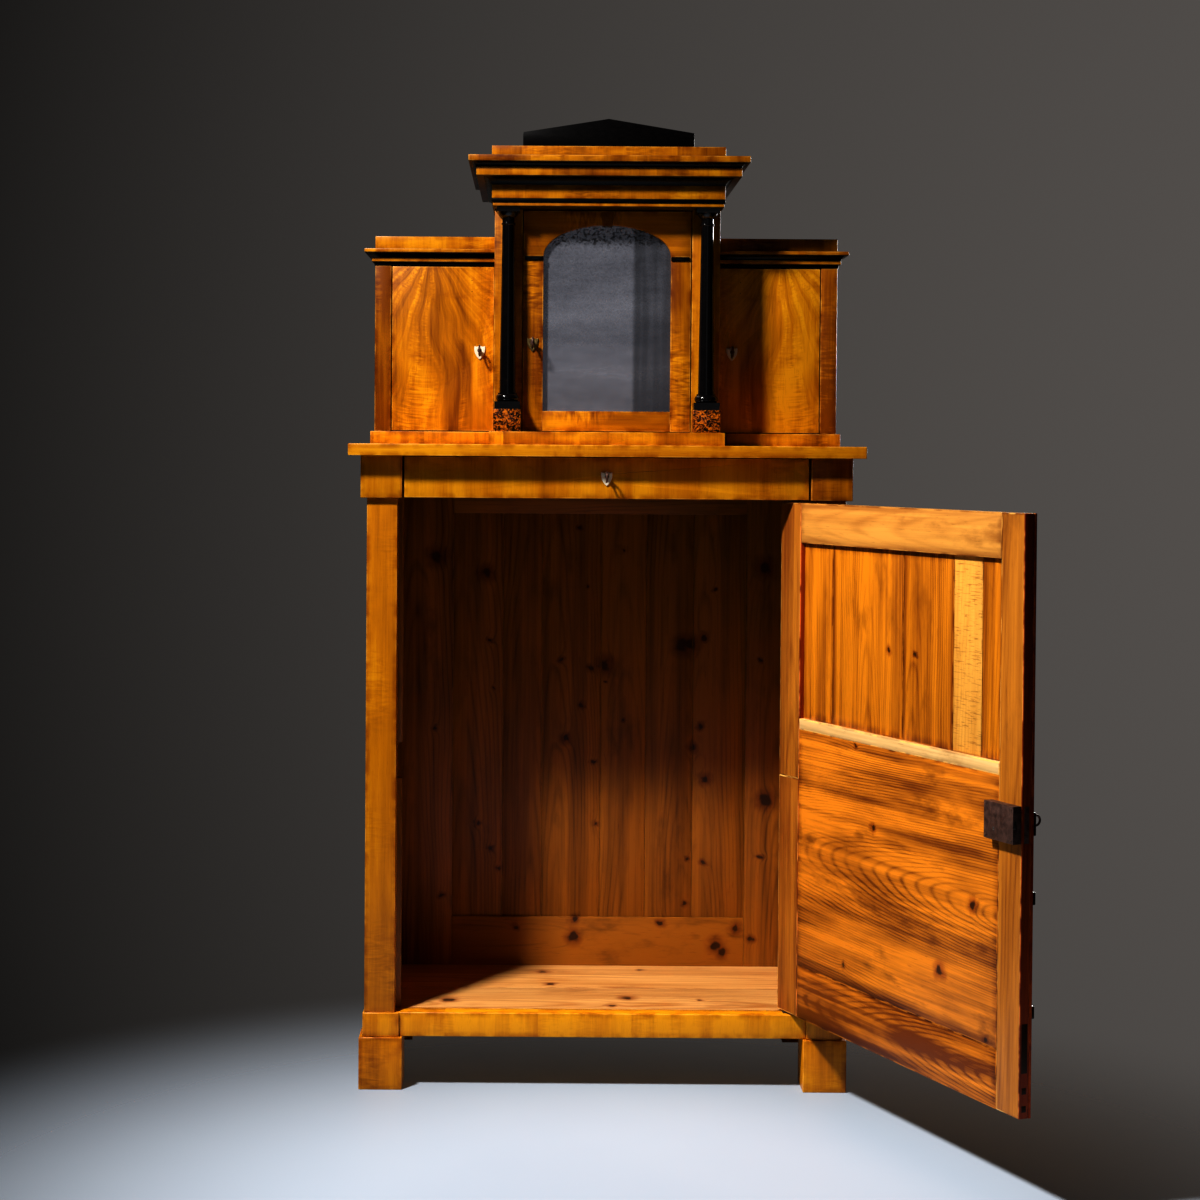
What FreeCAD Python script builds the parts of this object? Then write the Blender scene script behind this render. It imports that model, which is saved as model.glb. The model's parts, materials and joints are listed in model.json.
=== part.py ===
import FreeCAD, Part
import math
import os

# A two-part cabinet: a one-door cupboard with a frieze drawer, carrying a small temple of three compartments.
# Millimetres. +Z is up, the front faces -Y, and +X is to the right of someone who faces the front.
# The origin is on the floor, under the middle of the carcass.

# Lower carcass
carcass_depth = 480.0
pilaster_span = 970.0
pilaster_width = 62.0
pilaster_depth = 40.0
pilaster_height = 1046.0
pilaster_setback = 10.0
side_thickness = 20.0
side_inset = 3.0
foot_height = 106.0
foot_width = 88.0
foot_depth = 90.0
foot_proud = 10.0
plinth_height = 49.0
base_block_width = 74.0
base_block_proud = 3.0
base_block_setback = 6.0
rail_setback = 12.0
floor_thickness = 20.0
floor_front_plank = 183.0
plank_gap = 0.6
floor_cleat_width = 20.0
stop_lip = 10.0
stop_thickness = 18.0
stop_notch_margin = 4.0
back_inset = 12.0
back_frame_thickness = 22.0
back_stile_width = 137.0
back_bottom_rail = 108.0
back_top_rail = 41.0
back_board_thickness = 10.0
back_groove = 8.0
back_board_widths = (115.0, 84.0, 126.0, 97.0, 101.0, 121.0)

# Frieze, drawer and slab
frieze_height = 86.0
frieze_proud = 12.5
frieze_block_width = 84.0
dust_board_thickness = 16.0
dust_board_gap = 1.0
drawer_setback = 6.0
drawer_front_thickness = 20.0
drawer_end_gap = 4.0
drawer_edge_gap = 1.5
drawer_rear_room = 20.0
drawer_side_thickness = 12.0
drawer_side_gap = 6.0
drawer_side_drop = 8.0
drawer_bottom_thickness = 6.0
drawer_bottom_lift = 5.0
drawer_run_gap = 0.3
guide_width = 20.0
guide_height = 22.0
guide_gap = 0.5
slab_thickness = 24.0
slab_side_overhang = 23.5
slab_front_overhang = 30.0

# Cupboard door, drawn closed and then swung open to its resting angle
door_open_angle = 113.3
door_thickness = 25.0
door_facing_thickness = 5.0
door_stop_gap = 1.0
door_hinge_gap = 2.0
door_lock_gap = 3.0
door_bottom_gap = 4.0
door_top_gap = 4.0
hinge_stile_width = 80.0
hinge_stile_lower_length = 481.0
lock_stile_width = 68.0
door_top_rail = 80.0
door_mid_rail = 22.0
door_upper_panel = 354.0
door_panel_thickness = 10.0
door_bottom_board = 105.0
upper_board_widths = (111.0, 257.0, 166.0, 90.0, 69.0)
upper_board_gap = 1.2
ledge_height = 40.0
ledge_lift = 485.0
bead_height = 22.0
bead_proud = 7.0
bead_lock_end_gap = 2.0
bead_hinge_end_gap = 8.0
lower_bead_lift = 170.0
middle_bead_lift = 366.0
pivot_backset = 33.0
pivot_depth = 8.0
pivot_radius = 4.0
pivot_length = 14.0
pivot_plate_thickness = 2.5
pivot_plate_half_length = 20.0
pivot_plate_half_width = 6.0
running_clearance = 0.05

# Temple of three compartments
upper_plinth_height = 26.5
upper_plinth_proud = 8.0
wing_span = 962.0
wing_depth = 334.0
wing_height = 345.0
wing_side_thickness = 18.0
wing_stile_width = 34.0
wing_stile_thickness = 20.0
wing_bead_height = 7.0
wing_bead_proud = 1.5
wing_fillet_height = 8.5
wing_fillet_proud = 6.5
wing_cove_height = 10.0
wing_cove_proud = 19.0
wing_top_height = 8.0
wing_top_proud = 21.0
wing_attic_height = 27.0
centre_span = 463.0
centre_depth = 400.0
centre_height = 456.5
centre_post_width = 57.5
centre_post_depth = 45.0
partition_thickness = 16.0
upper_back_thickness = 10.0
porch_depth = 455.0
burl_height = 46.0
burl_inset = 1.0
architrave_height = 8.0
architrave_proud = 3.0
bead_layer_height = 7.0
bead_layer_proud = 5.5
frieze_layer_height = 28.0
frieze_layer_proud = 5.0
lower_cove_height = 15.0
lower_cove_proud = 30.0
fascia_height = 18.0
fascia_proud = 36.0
upper_cove_height = 9.0
upper_cove_proud = 47.0
cornice_top_height = 13.0
cornice_top_proud = 51.5
attic_height = 24.0
attic_proud = 5.5
pediment_width = 348.0
pediment_shoulder = 30.0
pediment_height = 58.0
pediment_thickness = 45.0
pediment_setback = 20.0

# Turned columns
column_plinth_width = 52.0
column_plinth_height = 15.0
column_torus_radius = 23.5
column_torus_height = 15.0
column_base_radius = 16.5
column_neck_radius = 12.5
column_foot_fillet = 3.0
column_capital_height = 36.0
column_abacus_width = 47.0
column_abacus_height = 10.0
column_echinus_radius = 21.0
column_echinus_height = 11.0
column_astragal_radius = 14.5
column_astragal_height = 5.0

# Doors of the temple
upper_door_gap = 2.0
upper_door_rise = 2.0
wing_door_thickness = 20.0
centre_door_thickness = 22.0
centre_door_head_gap = 3.0
small_pivot_backset = 12.0
small_pivot_depth = 4.5
small_pivot_radius = 2.0
small_pivot_length = 9.0
small_plate_thickness = 1.2
small_plate_half_length = 10.0
small_plate_half_width = 4.0
pivot_hole_spare = 1.0
centre_stile_width = 41.0
centre_bottom_rail = 41.0
arch_spring_height = 358.5
arch_rise = 65.0
mirror_lip = 11.5
mirror_rebate = 6.0
mirror_edge_gap = 1.0
mirror_thickness = 3.0
mirror_back_thickness = 6.0
impost_height = 8.5
impost_proud = 3.0
impost_end_gap = 3.0
keystone_top_width = 30.0
keystone_bottom_width = 19.5
keystone_drop = 3.0
keystone_proud = 3.0

# Locks, keys and escutcheons
main_key_backset = 38.0
main_case_tail = 50.0
main_case_half_height = 32.5
main_case_depth = 17.0
main_bolt_thickness = 5.0
small_case_tail = 24.0
small_case_half_height = 22.0
small_case_depth = 13.0
small_bolt_thickness = 5.0
drawer_case_half_width = 32.0
case_wall = 1.5
case_edge_inset = 1.5
bolt_width = 14.0
bolt_travel = 8.0
bolt_back = 6.0
bolt_play = 0.3
mortise_margin = 1.0
drawer_case_gap = 2.0
wing_key_backset = 29.0
wing_key_height = 169.0
centre_key_backset = 20.0
centre_key_height = 183.0
key_shank_radius = 3.0
key_bit_length = 12.0
key_bit_width = 3.0
key_bit_inset = 0.5
key_reach = 32.0
key_bow_radius = 9.0
key_bow_wire = 2.0
key_collar_radius = 4.5
key_collar_length = 3.0
drill_pin_radius = 1.5
drill_pin_play = 0.1
keyhole_play = 0.4
shield_width = 22.0
shield_height = 31.0
shield_thickness = 2.5
shield_drop = 3.0
shield_shoulder = 3.0
shield_dip = 1.2
shield_flank = 0.78

# Levels
z_plinth = foot_height
z_floor = z_plinth + plinth_height
z_frieze = z_floor + pilaster_height
z_slab = z_frieze + frieze_height
z_slab_top = z_slab + slab_thickness
z_body = z_slab_top + upper_plinth_height
z_wing_head = z_body + wing_height
z_centre_head = z_body + centre_height
z_dust_top = z_frieze + dust_board_thickness

# Planes across and along the carcass
y_front = -carcass_depth / 2
y_back = carcass_depth / 2
y_pilaster = y_front + pilaster_setback
y_pilaster_back = y_pilaster + pilaster_depth
x_pilaster = pilaster_span / 2
x_opening = x_pilaster - pilaster_width
x_side_in = x_pilaster - side_inset - side_thickness
x_frieze = x_pilaster + frieze_proud
x_block_in = x_frieze - frieze_block_width
y_back_frame = y_back - back_inset - back_frame_thickness
y_drawer = y_front + drawer_setback
y_drawer_back = y_drawer + drawer_front_thickness
y_drawer_end = y_back_frame - drawer_rear_room
z_drawer_low = z_dust_top + drawer_run_gap
z_drawer_floor = z_drawer_low + drawer_bottom_lift + drawer_bottom_thickness

# Planes of the temple
x_wing = wing_span / 2
y_wing = y_back - wing_depth
x_centre = centre_span / 2
y_centre = y_back - centre_depth
x_post_in = x_centre - centre_post_width
y_porch = y_back - porch_depth
column_x = x_centre - centre_post_width / 2
column_y = (y_porch + y_centre) / 2

# Planes of the closed cupboard door
x_hinge_edge = x_opening - door_hinge_gap
x_lock_edge = -x_opening + door_lock_gap
y_door_in = y_pilaster_back - door_stop_gap
y_door_out = y_door_in - door_thickness
z_door_low = z_floor + door_bottom_gap
z_door_high = z_frieze - door_top_gap
pivot_x = x_hinge_edge - pivot_backset
pivot_y = y_door_out + pivot_depth
z_main_key = z_door_low + ledge_lift + ledge_height / 2


def vec(x, y, z):
    """Point or direction from its three parts."""
    return FreeCAD.Vector(x, y, z)


def board(x0, x1, y0, y1, z0, z1):
    """Square-edged board between six planes, given in either order."""
    low = vec(min(x0, x1), min(y0, y1), min(z0, z1))
    return Part.makeBox(abs(x1 - x0), abs(y1 - y0), abs(z1 - z0), low)


def rod(x, y0, y1, z, radius):
    """Round rod along Y."""
    return Part.makeCylinder(radius, y1 - y0, vec(x, y0, z), vec(0, 1, 0))


def post(x, y, z0, z1, radius):
    """Round rod along Z."""
    return Part.makeCylinder(radius, z1 - z0, vec(x, y, z0), vec(0, 0, 1))


def prism(edges, direction):
    """Solid swept from a closed outline of edges along a direction."""
    return Part.Face(Part.Wire(edges)).extrude(direction)


def line(a, b):
    """Straight edge between two points."""
    return Part.LineSegment(a, b).toShape()


def arc(a, middle, b):
    """Round edge from a to b through a point between them."""
    return Part.Arc(a, middle, b).toShape()


def export(node, solids):
    """Write the solids of one node to its own file."""
    whole = solids[0] if len(solids) == 1 else Part.makeCompound(solids)
    whole.exportStep("parts/" + node + ".step")


class LockSeat:
    """Where a lock sits on the inner face of a door or drawer front, and which way its bolt goes."""

    def __init__(self, x, z, y_in, edge, bolt_way, tail, half, depth, bolt_thickness):
        self.x = x
        self.z = z
        self.y_in = y_in
        self.edge = edge - case_edge_inset
        self.bolt_way = bolt_way
        self.side_way = vec(0, 0, 1) if bolt_way.z == 0 else vec(1, 0, 0)
        self.tail = tail
        self.half = half
        self.depth = depth
        self.bolt_far = depth - case_wall - bolt_play
        self.bolt_near = self.bolt_far - bolt_thickness
        self.y_bit = y_in + key_bit_inset
        self.y_tip = y_in + self.bolt_near - 2 * bolt_play

    def box(self, u0, u1, v0, v1, w0, w1):
        """Box by distance along the bolt (u), across it (v) and inwards from the face (w)."""
        keyhole_point = vec(self.x, self.y_in, self.z)
        a = keyhole_point + self.bolt_way * u0 + self.side_way * v0 + vec(0, w0, 0)
        b = keyhole_point + self.bolt_way * u1 + self.side_way * v1 + vec(0, w1, 0)
        return board(a.x, b.x, a.y, b.y, a.z, b.z)

    def bolt_box(self, u0, u1, margin):
        """Box of the bolt's section, widened all round by a margin."""
        across = bolt_width / 2 + margin
        return self.box(u0, u1, -across, across, self.bolt_near - margin, self.bolt_far + margin)

    def case(self):
        """Sheet-iron case, open towards the wood, with the pin that the hollow key turns on."""
        inside = self.half - case_wall
        shell = self.box(-self.tail, self.edge, -self.half, self.half, 0, self.depth)
        far = self.depth - case_wall
        room = self.box(case_wall - self.tail, self.edge - case_wall, -inside, inside, -case_wall, far)
        slot = self.bolt_box(self.edge - 2 * case_wall, self.edge + case_wall, bolt_play)
        pin = rod(self.x, self.y_bit + case_wall, self.y_in + self.depth, self.z, drill_pin_radius)
        return shell.cut(room).cut(slot).fuse(pin).removeSplitter()

    def bolt(self):
        """Bolt, drawn back level with the end of the case."""
        return self.bolt_box(bolt_back, self.edge, 0)

    def mortise(self):
        """Pocket that the thrown bolt enters."""
        return self.bolt_box(self.edge, self.edge + bolt_travel + mortise_margin, mortise_margin)

    def keyhole(self, y_out):
        """Round hole with a slot under it, from the inner face out past y_out."""
        radius = key_shank_radius + keyhole_play
        half = key_bit_width / 2 + keyhole_play
        y_start = y_out - keyhole_play
        hole = rod(self.x, y_start, self.y_in, self.z, radius)
        slot_low = self.z - key_bit_length - keyhole_play
        slot = board(self.x - half, self.x + half, y_start, self.y_in, slot_low, self.z)
        return hole.fuse(slot)

    def key(self, y_face):
        """Key with a ring bow, standing in the lock in front of the escutcheon's face."""
        y_bow = y_face - key_reach + key_bow_radius + key_bow_wire
        y_shank = y_bow + key_bow_radius
        y_collar = y_shank + key_bow_wire
        shank = rod(self.x, y_shank, self.y_tip, self.z, key_shank_radius)
        bow = Part.makeTorus(key_bow_radius, key_bow_wire, vec(self.x, y_bow, self.z), vec(1, 0, 0))
        collar = rod(self.x, y_collar, y_collar + key_collar_length, self.z, key_collar_radius)
        half = key_bit_width / 2
        bit = board(self.x - half, self.x + half, self.y_bit, self.y_tip, self.z - key_bit_length, self.z)
        bore = rod(self.x, self.y_bit, self.y_tip + drill_pin_play, self.z, drill_pin_radius + drill_pin_play)
        return shank.fuse([bow, collar, bit]).cut(bore).removeSplitter()

    def escutcheon(self, y_face):
        """Bone shield with a peaked top, hollow shoulders and a pointed foot, laid on the outer face."""
        half = shield_width / 2
        top = self.z - shield_drop + shield_height / 2
        foot = top - shield_height
        y_out = y_face - shield_thickness

        def at(across, up):
            return vec(self.x + across, y_out, up)

        peak = at(0, top)
        tip = at(0, foot)
        edges = []
        for way in (1, -1):
            corner = at(way * half, top - shield_shoulder)
            hollow = at(way * half / 2, top - shield_shoulder - shield_dip)
            flank = at(way * half * shield_flank, foot + shield_height / 3)
            edges.append(arc(peak, hollow, corner))
            edges.append(arc(corner, flank, tip))
        outline = [edges[0], edges[1], edges[3], edges[2]]
        plate = prism(outline, vec(0, shield_thickness, 0))
        return plate.cut(self.keyhole(y_out))


class CornicePlan:
    """Plan of a cornice: its body planes, and which of its ends are moulded."""

    def __init__(self, x_left, x_right, y_face, left_moulded, right_moulded):
        self.x_left = x_left
        self.x_right = x_right
        self.y_face = y_face
        self.left = 1 if left_moulded else 0
        self.right = 1 if right_moulded else 0

    def flat(self, z0, height, proud):
        """Square-edged layer standing proud of the body."""
        x0 = self.x_left - self.left * proud
        x1 = self.x_right + self.right * proud
        return board(x0, x1, self.y_face - proud, y_back, z0, z0 + height)

    def cove(self, z0, height, low_proud, high_proud):
        """Layer with a hollow moulded edge, mitred at its corners."""
        z1 = z0 + height
        diagonal = math.sqrt(0.5)
        mid_proud = high_proud - (high_proud - low_proud) * diagonal
        z_mid = z0 + height * diagonal
        x_start = self.x_left - high_proud
        x_length = self.x_right - self.x_left + 2 * high_proud
        y_start = self.y_face - high_proud

        def front(proud, z):
            return vec(x_start, self.y_face - proud, z)

        rear_low = vec(x_start, y_back, z0)
        rear_high = vec(x_start, y_back, z1)
        front_edges = [
            line(rear_low, front(low_proud, z0)),
            arc(front(low_proud, z0), front(mid_proud, z_mid), front(high_proud, z1)),
            line(front(high_proud, z1), rear_high),
            line(rear_high, rear_low),
        ]
        along_front = prism(front_edges, vec(x_length, 0, 0))

        def end(x, way, proud, z):
            return vec(x + way * proud, y_start, z)

        def end_edge(x, way):
            low = end(x, way, low_proud, z0)
            high = end(x, way, high_proud, z1)
            if way == 0:
                return line(low, high)
            return arc(low, end(x, way, mid_proud, z_mid), high)

        end_edges = [
            line(end(self.x_left, -self.left, low_proud, z0), end(self.x_right, self.right, low_proud, z0)),
            end_edge(self.x_right, self.right),
            line(end(self.x_right, self.right, high_proud, z1), end(self.x_left, -self.left, high_proud, z1)),
            end_edge(self.x_left, -self.left),
        ]
        along_ends = prism(end_edges, vec(0, y_back - y_start, 0))
        return along_front.common(along_ends)


def swing(shapes):
    """Turn closed cupboard-door pieces about the pivot to the resting angle."""
    turned = []
    for shape in shapes:
        piece = shape.copy()
        piece.rotate(vec(pivot_x, pivot_y, 0), vec(0, 0, 1), door_open_angle)
        turned.append(piece)
    return turned


def share_out(start, length, widths, gap):
    """Split a length into boards in proportion to their widths, with a gap between neighbours."""
    spare = length - gap * (len(widths) - 1)
    spans = []
    for width in widths:
        size = spare * width / sum(widths)
        spans.append((start, start + size))
        start += size + gap
    return spans


def carcass_sides():
    """Sides, pilasters, feet, plinth and frieze blocks, which come in pairs."""
    nodes = {"side_panels": [], "pilasters": [], "block_feet": [], "plinth_rail": [], "frieze_blocks": []}
    x_foot = x_pilaster + foot_proud
    x_base = x_pilaster + base_block_proud
    y_base = y_front + base_block_setback
    for way in (-1, 1):
        side_out = x_side_in + side_thickness
        nodes["side_panels"].append(
            board(way * x_side_in, way * side_out, y_pilaster_back, y_back, z_plinth, z_slab)
        )
        nodes["pilasters"].append(
            board(way * x_opening, way * x_pilaster, y_pilaster, y_pilaster_back, z_floor, z_frieze)
        )
        nodes["plinth_rail"].append(
            board(way * (x_base - base_block_width), way * x_base, y_base, y_pilaster_back, z_plinth, z_floor)
        )
        nodes["frieze_blocks"].append(
            board(way * x_block_in, way * x_frieze, y_front, y_pilaster_back, z_frieze, z_slab)
        )
        for y_foot in (y_front, y_back - foot_depth):
            nodes["block_feet"].append(
                board(way * (x_foot - foot_width), way * x_foot, y_foot, y_foot + foot_depth, 0, z_plinth)
            )
    x_rail = x_base - base_block_width
    nodes["plinth_rail"].append(
        board(-x_rail, x_rail, y_front + rail_setback, y_pilaster_back, z_plinth, z_floor)
    )
    return nodes


def carcass_inside(main_lock):
    """Floor, back, dust board, cleats and guides."""
    z_under_floor = z_floor - floor_thickness
    y_joint = y_pilaster_back + floor_front_plank
    floor = [
        board(-x_side_in, x_side_in, y_pilaster_back, y_joint, z_under_floor, z_floor),
        board(-x_side_in, x_side_in, y_joint + plank_gap, y_back_frame, z_under_floor, z_floor),
    ]
    x_stile = x_side_in - back_stile_width
    y_frame_back = y_back_frame + back_frame_thickness
    z_rail_low = z_floor + back_bottom_rail
    z_rail_high = z_frieze - back_top_rail
    y_board = y_back_frame + (back_frame_thickness - back_board_thickness) / 2
    x_tongue = x_stile + back_groove
    z_tongue_low = z_rail_low - back_groove
    z_tongue_high = z_rail_high + back_groove
    panel_room = board(
        -x_tongue, x_tongue, y_board, y_board + back_board_thickness, z_tongue_low, z_tongue_high
    )
    frame = [
        board(-x_side_in, -x_stile, y_back_frame, y_frame_back, z_plinth, z_slab),
        board(x_stile, x_side_in, y_back_frame, y_frame_back, z_plinth, z_slab),
        board(-x_stile, x_stile, y_back_frame, y_frame_back, z_plinth, z_rail_low),
        board(-x_stile, x_stile, y_back_frame, y_frame_back, z_rail_high, z_slab),
    ]
    boards = [
        board(x0, x1, y_board, y_board + back_board_thickness, z_tongue_low, z_tongue_high)
        for x0, x1 in share_out(-x_tongue, 2 * x_tongue, back_board_widths, plank_gap)
    ]
    y_dust = y_drawer_back + dust_board_gap
    x_dust = x_block_in - dust_board_gap
    dust_front = board(-x_dust, x_dust, y_dust, y_pilaster_back, z_frieze, z_dust_top)
    dust_rear = board(-x_side_in, x_side_in, y_pilaster_back, y_back_frame, z_frieze, z_dust_top)
    x_guide = x_block_in - drawer_side_gap + guide_gap
    cleats = []
    for way in (-1, 1):
        cleats.append(
            board(
                way * (x_side_in - floor_cleat_width),
                way * x_side_in,
                y_pilaster_back,
                y_back_frame,
                z_plinth,
                z_under_floor,
            )
        )
        cleats.append(
            board(
                way * x_guide,
                way * (x_guide + guide_width),
                y_pilaster_back,
                y_drawer_end,
                z_dust_top,
                z_dust_top + guide_height,
            )
        )
    y_stop = y_pilaster_back + stop_thickness
    stop = board(-x_side_in, -(x_opening - stop_lip), y_pilaster_back, y_stop, z_floor, z_frieze)
    lock_reach = main_case_half_height + stop_notch_margin
    lock_room = board(
        x_lock_edge - stop_notch_margin,
        -(x_opening - stop_lip),
        y_pilaster_back,
        y_stop,
        z_main_key - lock_reach,
        z_main_key + lock_reach,
    )
    stop = stop.cut(lock_room).cut(main_lock.mortise())
    hinge_cleat = board(x_opening, x_side_in, y_pilaster_back, y_stop, z_floor, z_frieze)
    return {
        "floor_boards": floor,
        "back_frame": [piece.cut(panel_room) for piece in frame],
        "back_boards": boards,
        "dust_board": [dust_front, dust_rear],
        "floor_cleats_and_drawer_guides": cleats,
        "pilaster_cleats": [stop, hinge_cleat],
    }


def slab(drawer_lock):
    """Overhanging top slab, with the pocket for the drawer's bolt."""
    x_slab = x_frieze + slab_side_overhang
    y_slab = y_front - slab_front_overhang
    top = board(-x_slab, x_slab, y_slab, y_back, z_slab, z_slab_top)
    return {"top_slab": [top.cut(drawer_lock.mortise())]}


def temple_body(wing_locks, centre_lock):
    """Plinth, sides, posts and backs of the three compartments."""
    x_plinth = x_wing + upper_plinth_proud
    y_plinth = y_wing - upper_plinth_proud
    x_step = x_centre + upper_plinth_proud
    y_step = y_porch - upper_plinth_proud
    plinth = board(-x_plinth, x_plinth, y_plinth, y_back, z_slab_top, z_body)
    step = board(-x_step, x_step, y_step, y_plinth, z_slab_top, z_body)
    y_stile_back = y_wing + wing_stile_thickness
    y_post_back = y_centre + centre_post_depth
    x_partition = x_centre - partition_thickness
    y_board = y_back - upper_back_thickness
    x_wing_in = x_wing - wing_side_thickness
    sides = []
    posts = []
    backs = [board(-x_partition, x_partition, y_board, y_back, z_body, z_centre_head)]
    for way, lock in zip((-1, 1), wing_locks):
        sides.append(board(way * x_wing_in, way * x_wing, y_stile_back, y_back, z_body, z_wing_head))
        sides.append(
            board(way * (x_wing - wing_stile_width), way * x_wing, y_wing, y_stile_back, z_body, z_wing_head)
        )
        corner = board(way * x_post_in, way * x_centre, y_centre, y_post_back, z_body, z_centre_head)
        posts.append(corner.cut(centre_lock.mortise()))
        partition = board(way * x_partition, way * x_centre, y_post_back, y_back, z_body, z_centre_head)
        posts.append(partition.cut(lock.mortise()))
        backs.append(board(way * x_centre, way * x_wing_in, y_board, y_back, z_body, z_wing_head))
    return {
        "upper_plinth": [plinth, step],
        "wing_sides": sides,
        "centre_sides": posts,
        "upper_backs": backs,
    }


def cornices():
    """Light cornice boards and black mouldings of the wings and the centre."""
    wing_boards = []
    black = []
    for x0, x1, left in ((-x_wing, -x_centre, True), (x_centre, x_wing, False)):
        plan = CornicePlan(x0, x1, y_wing, left, not left)
        z = z_wing_head
        black.append(plan.flat(z, wing_bead_height, wing_bead_proud))
        z += wing_bead_height
        wing_boards.append(plan.flat(z, wing_fillet_height, wing_fillet_proud))
        z += wing_fillet_height
        black.append(plan.cove(z, wing_cove_height, wing_fillet_proud, wing_cove_proud))
        z += wing_cove_height
        wing_boards.append(plan.flat(z, wing_top_height, wing_top_proud))
        z += wing_top_height
        wing_boards.append(plan.flat(z, wing_attic_height, 0))
    plan = CornicePlan(-x_centre, x_centre, y_porch, True, True)
    z = z_centre_head
    entablature = [plan.flat(z, architrave_height, architrave_proud)]
    z += architrave_height
    black.append(plan.flat(z, bead_layer_height, bead_layer_proud))
    z += bead_layer_height
    entablature.append(plan.flat(z, frieze_layer_height, frieze_layer_proud))
    z += frieze_layer_height
    black.append(plan.cove(z, lower_cove_height, frieze_layer_proud, lower_cove_proud))
    z += lower_cove_height
    cornice = [plan.flat(z, fascia_height, fascia_proud)]
    z += fascia_height
    black.append(plan.cove(z, upper_cove_height, fascia_proud, upper_cove_proud))
    z += upper_cove_height
    cornice.append(plan.flat(z, cornice_top_height, cornice_top_proud))
    z += cornice_top_height
    cornice.append(plan.flat(z, attic_height, attic_proud))
    z += attic_height
    return {
        "wing_cornices": wing_boards,
        "ebonised_mouldings": black,
        "entablature": entablature,
        "cornice_boards": cornice,
        "pediment": [pediment(z)],
    }


def pediment(z):
    """Low gable with upright shoulders, standing on the attic."""
    half = pediment_width / 2
    y = y_porch - attic_proud + pediment_setback
    corners = [
        vec(-half, y, z),
        vec(half, y, z),
        vec(half, y, z + pediment_shoulder),
        vec(0, y, z + pediment_height),
        vec(-half, y, z + pediment_shoulder),
    ]
    edges = [line(a, b) for a, b in zip(corners, corners[1:] + corners[:1])]
    return prism(edges, vec(0, pediment_thickness, 0))


def column(x, y, z0, z1):
    """Turned column with square plinth and abacus, and a shaft that swells a little as it tapers."""
    z_torus = z0 + column_plinth_height
    z_fillet = z_torus + column_torus_height
    z_shaft = z_fillet + column_foot_fillet
    z_capital = z1 - column_capital_height
    z_neck = z_capital + column_astragal_height
    z_abacus = z1 - column_abacus_height
    z_echinus = z_abacus - column_echinus_height
    fillet_radius = column_base_radius + column_foot_fillet
    shaft_middle = (z_shaft + z_capital) / 2
    swelling = (column_base_radius - column_neck_radius) / 4
    middle_radius = (column_base_radius + column_neck_radius) / 2 + swelling / 2

    def at(radius, z):
        return vec(x + radius, y, z)

    edges = [
        line(at(0, z_torus), at(fillet_radius, z_torus)),
        arc(
            at(fillet_radius, z_torus),
            at(column_torus_radius, (z_torus + z_fillet) / 2),
            at(fillet_radius, z_fillet),
        ),
        line(at(fillet_radius, z_fillet), at(fillet_radius, z_shaft)),
        line(at(fillet_radius, z_shaft), at(column_base_radius, z_shaft)),
        arc(
            at(column_base_radius, z_shaft),
            at(middle_radius, shaft_middle),
            at(column_neck_radius, z_capital),
        ),
        arc(
            at(column_neck_radius, z_capital),
            at(column_astragal_radius, (z_capital + z_neck) / 2),
            at(column_neck_radius, z_neck),
        ),
        line(at(column_neck_radius, z_neck), at(column_neck_radius, z_echinus)),
        arc(
            at(column_neck_radius, z_echinus),
            at((column_neck_radius + 2 * column_echinus_radius) / 3, (z_echinus + z_abacus) / 2),
            at(column_echinus_radius, z_abacus),
        ),
        line(at(column_echinus_radius, z_abacus), at(0, z_abacus)),
        line(at(0, z_abacus), at(0, z_torus)),
    ]
    turned = Part.Face(Part.Wire(edges)).revolve(vec(x, y, 0), vec(0, 0, 1), 360)
    plinth_half = column_plinth_width / 2
    abacus_half = column_abacus_width / 2
    plinth = board(x - plinth_half, x + plinth_half, y - plinth_half, y + plinth_half, z0, z_torus)
    abacus = board(x - abacus_half, x + abacus_half, y - abacus_half, y + abacus_half, z_abacus, z1)
    return turned.fuse([plinth, abacus]).removeSplitter()


def porch():
    """Burl blocks with the columns that stand on them."""
    z_burl = z_body + burl_height
    half = centre_post_width / 2 - burl_inset
    columns = []
    blocks = []
    for x in (-column_x, column_x):
        blocks.append(board(x - half, x + half, y_porch, y_centre, z_body, z_burl))
        columns.append(column(x, column_y, z_burl, z_centre_head))
    return {"burl_blocks": blocks, "columns": columns}


def pivot(x, y, z, way, radius, length, plate):
    """Fixed hinge plate lying at z with its pin standing up (way 1) or hanging down (way -1)."""
    thickness, half_length, half_width = plate
    z_face = z + way * thickness
    sheet = board(x - half_length, x + half_length, y - half_width, y + half_width, z, z_face)
    low = min(z, z_face + way * length)
    high = max(z, z_face + way * length)
    return sheet.fuse(post(x, y, low, high, radius)).removeSplitter()


def pivot_hole(x, y, z, way, radius, length):
    """Round hole in a door for a pin that enters it from the plate at z."""
    far = z + way * (length + pivot_hole_spare)
    return post(x, y, min(z, far), max(z, far), radius + running_clearance)


main_plate = (pivot_plate_thickness, pivot_plate_half_length, pivot_plate_half_width)
small_plate = (small_plate_thickness, small_plate_half_length, small_plate_half_width)
small_pin = (small_pivot_radius, small_pivot_length)


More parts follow.
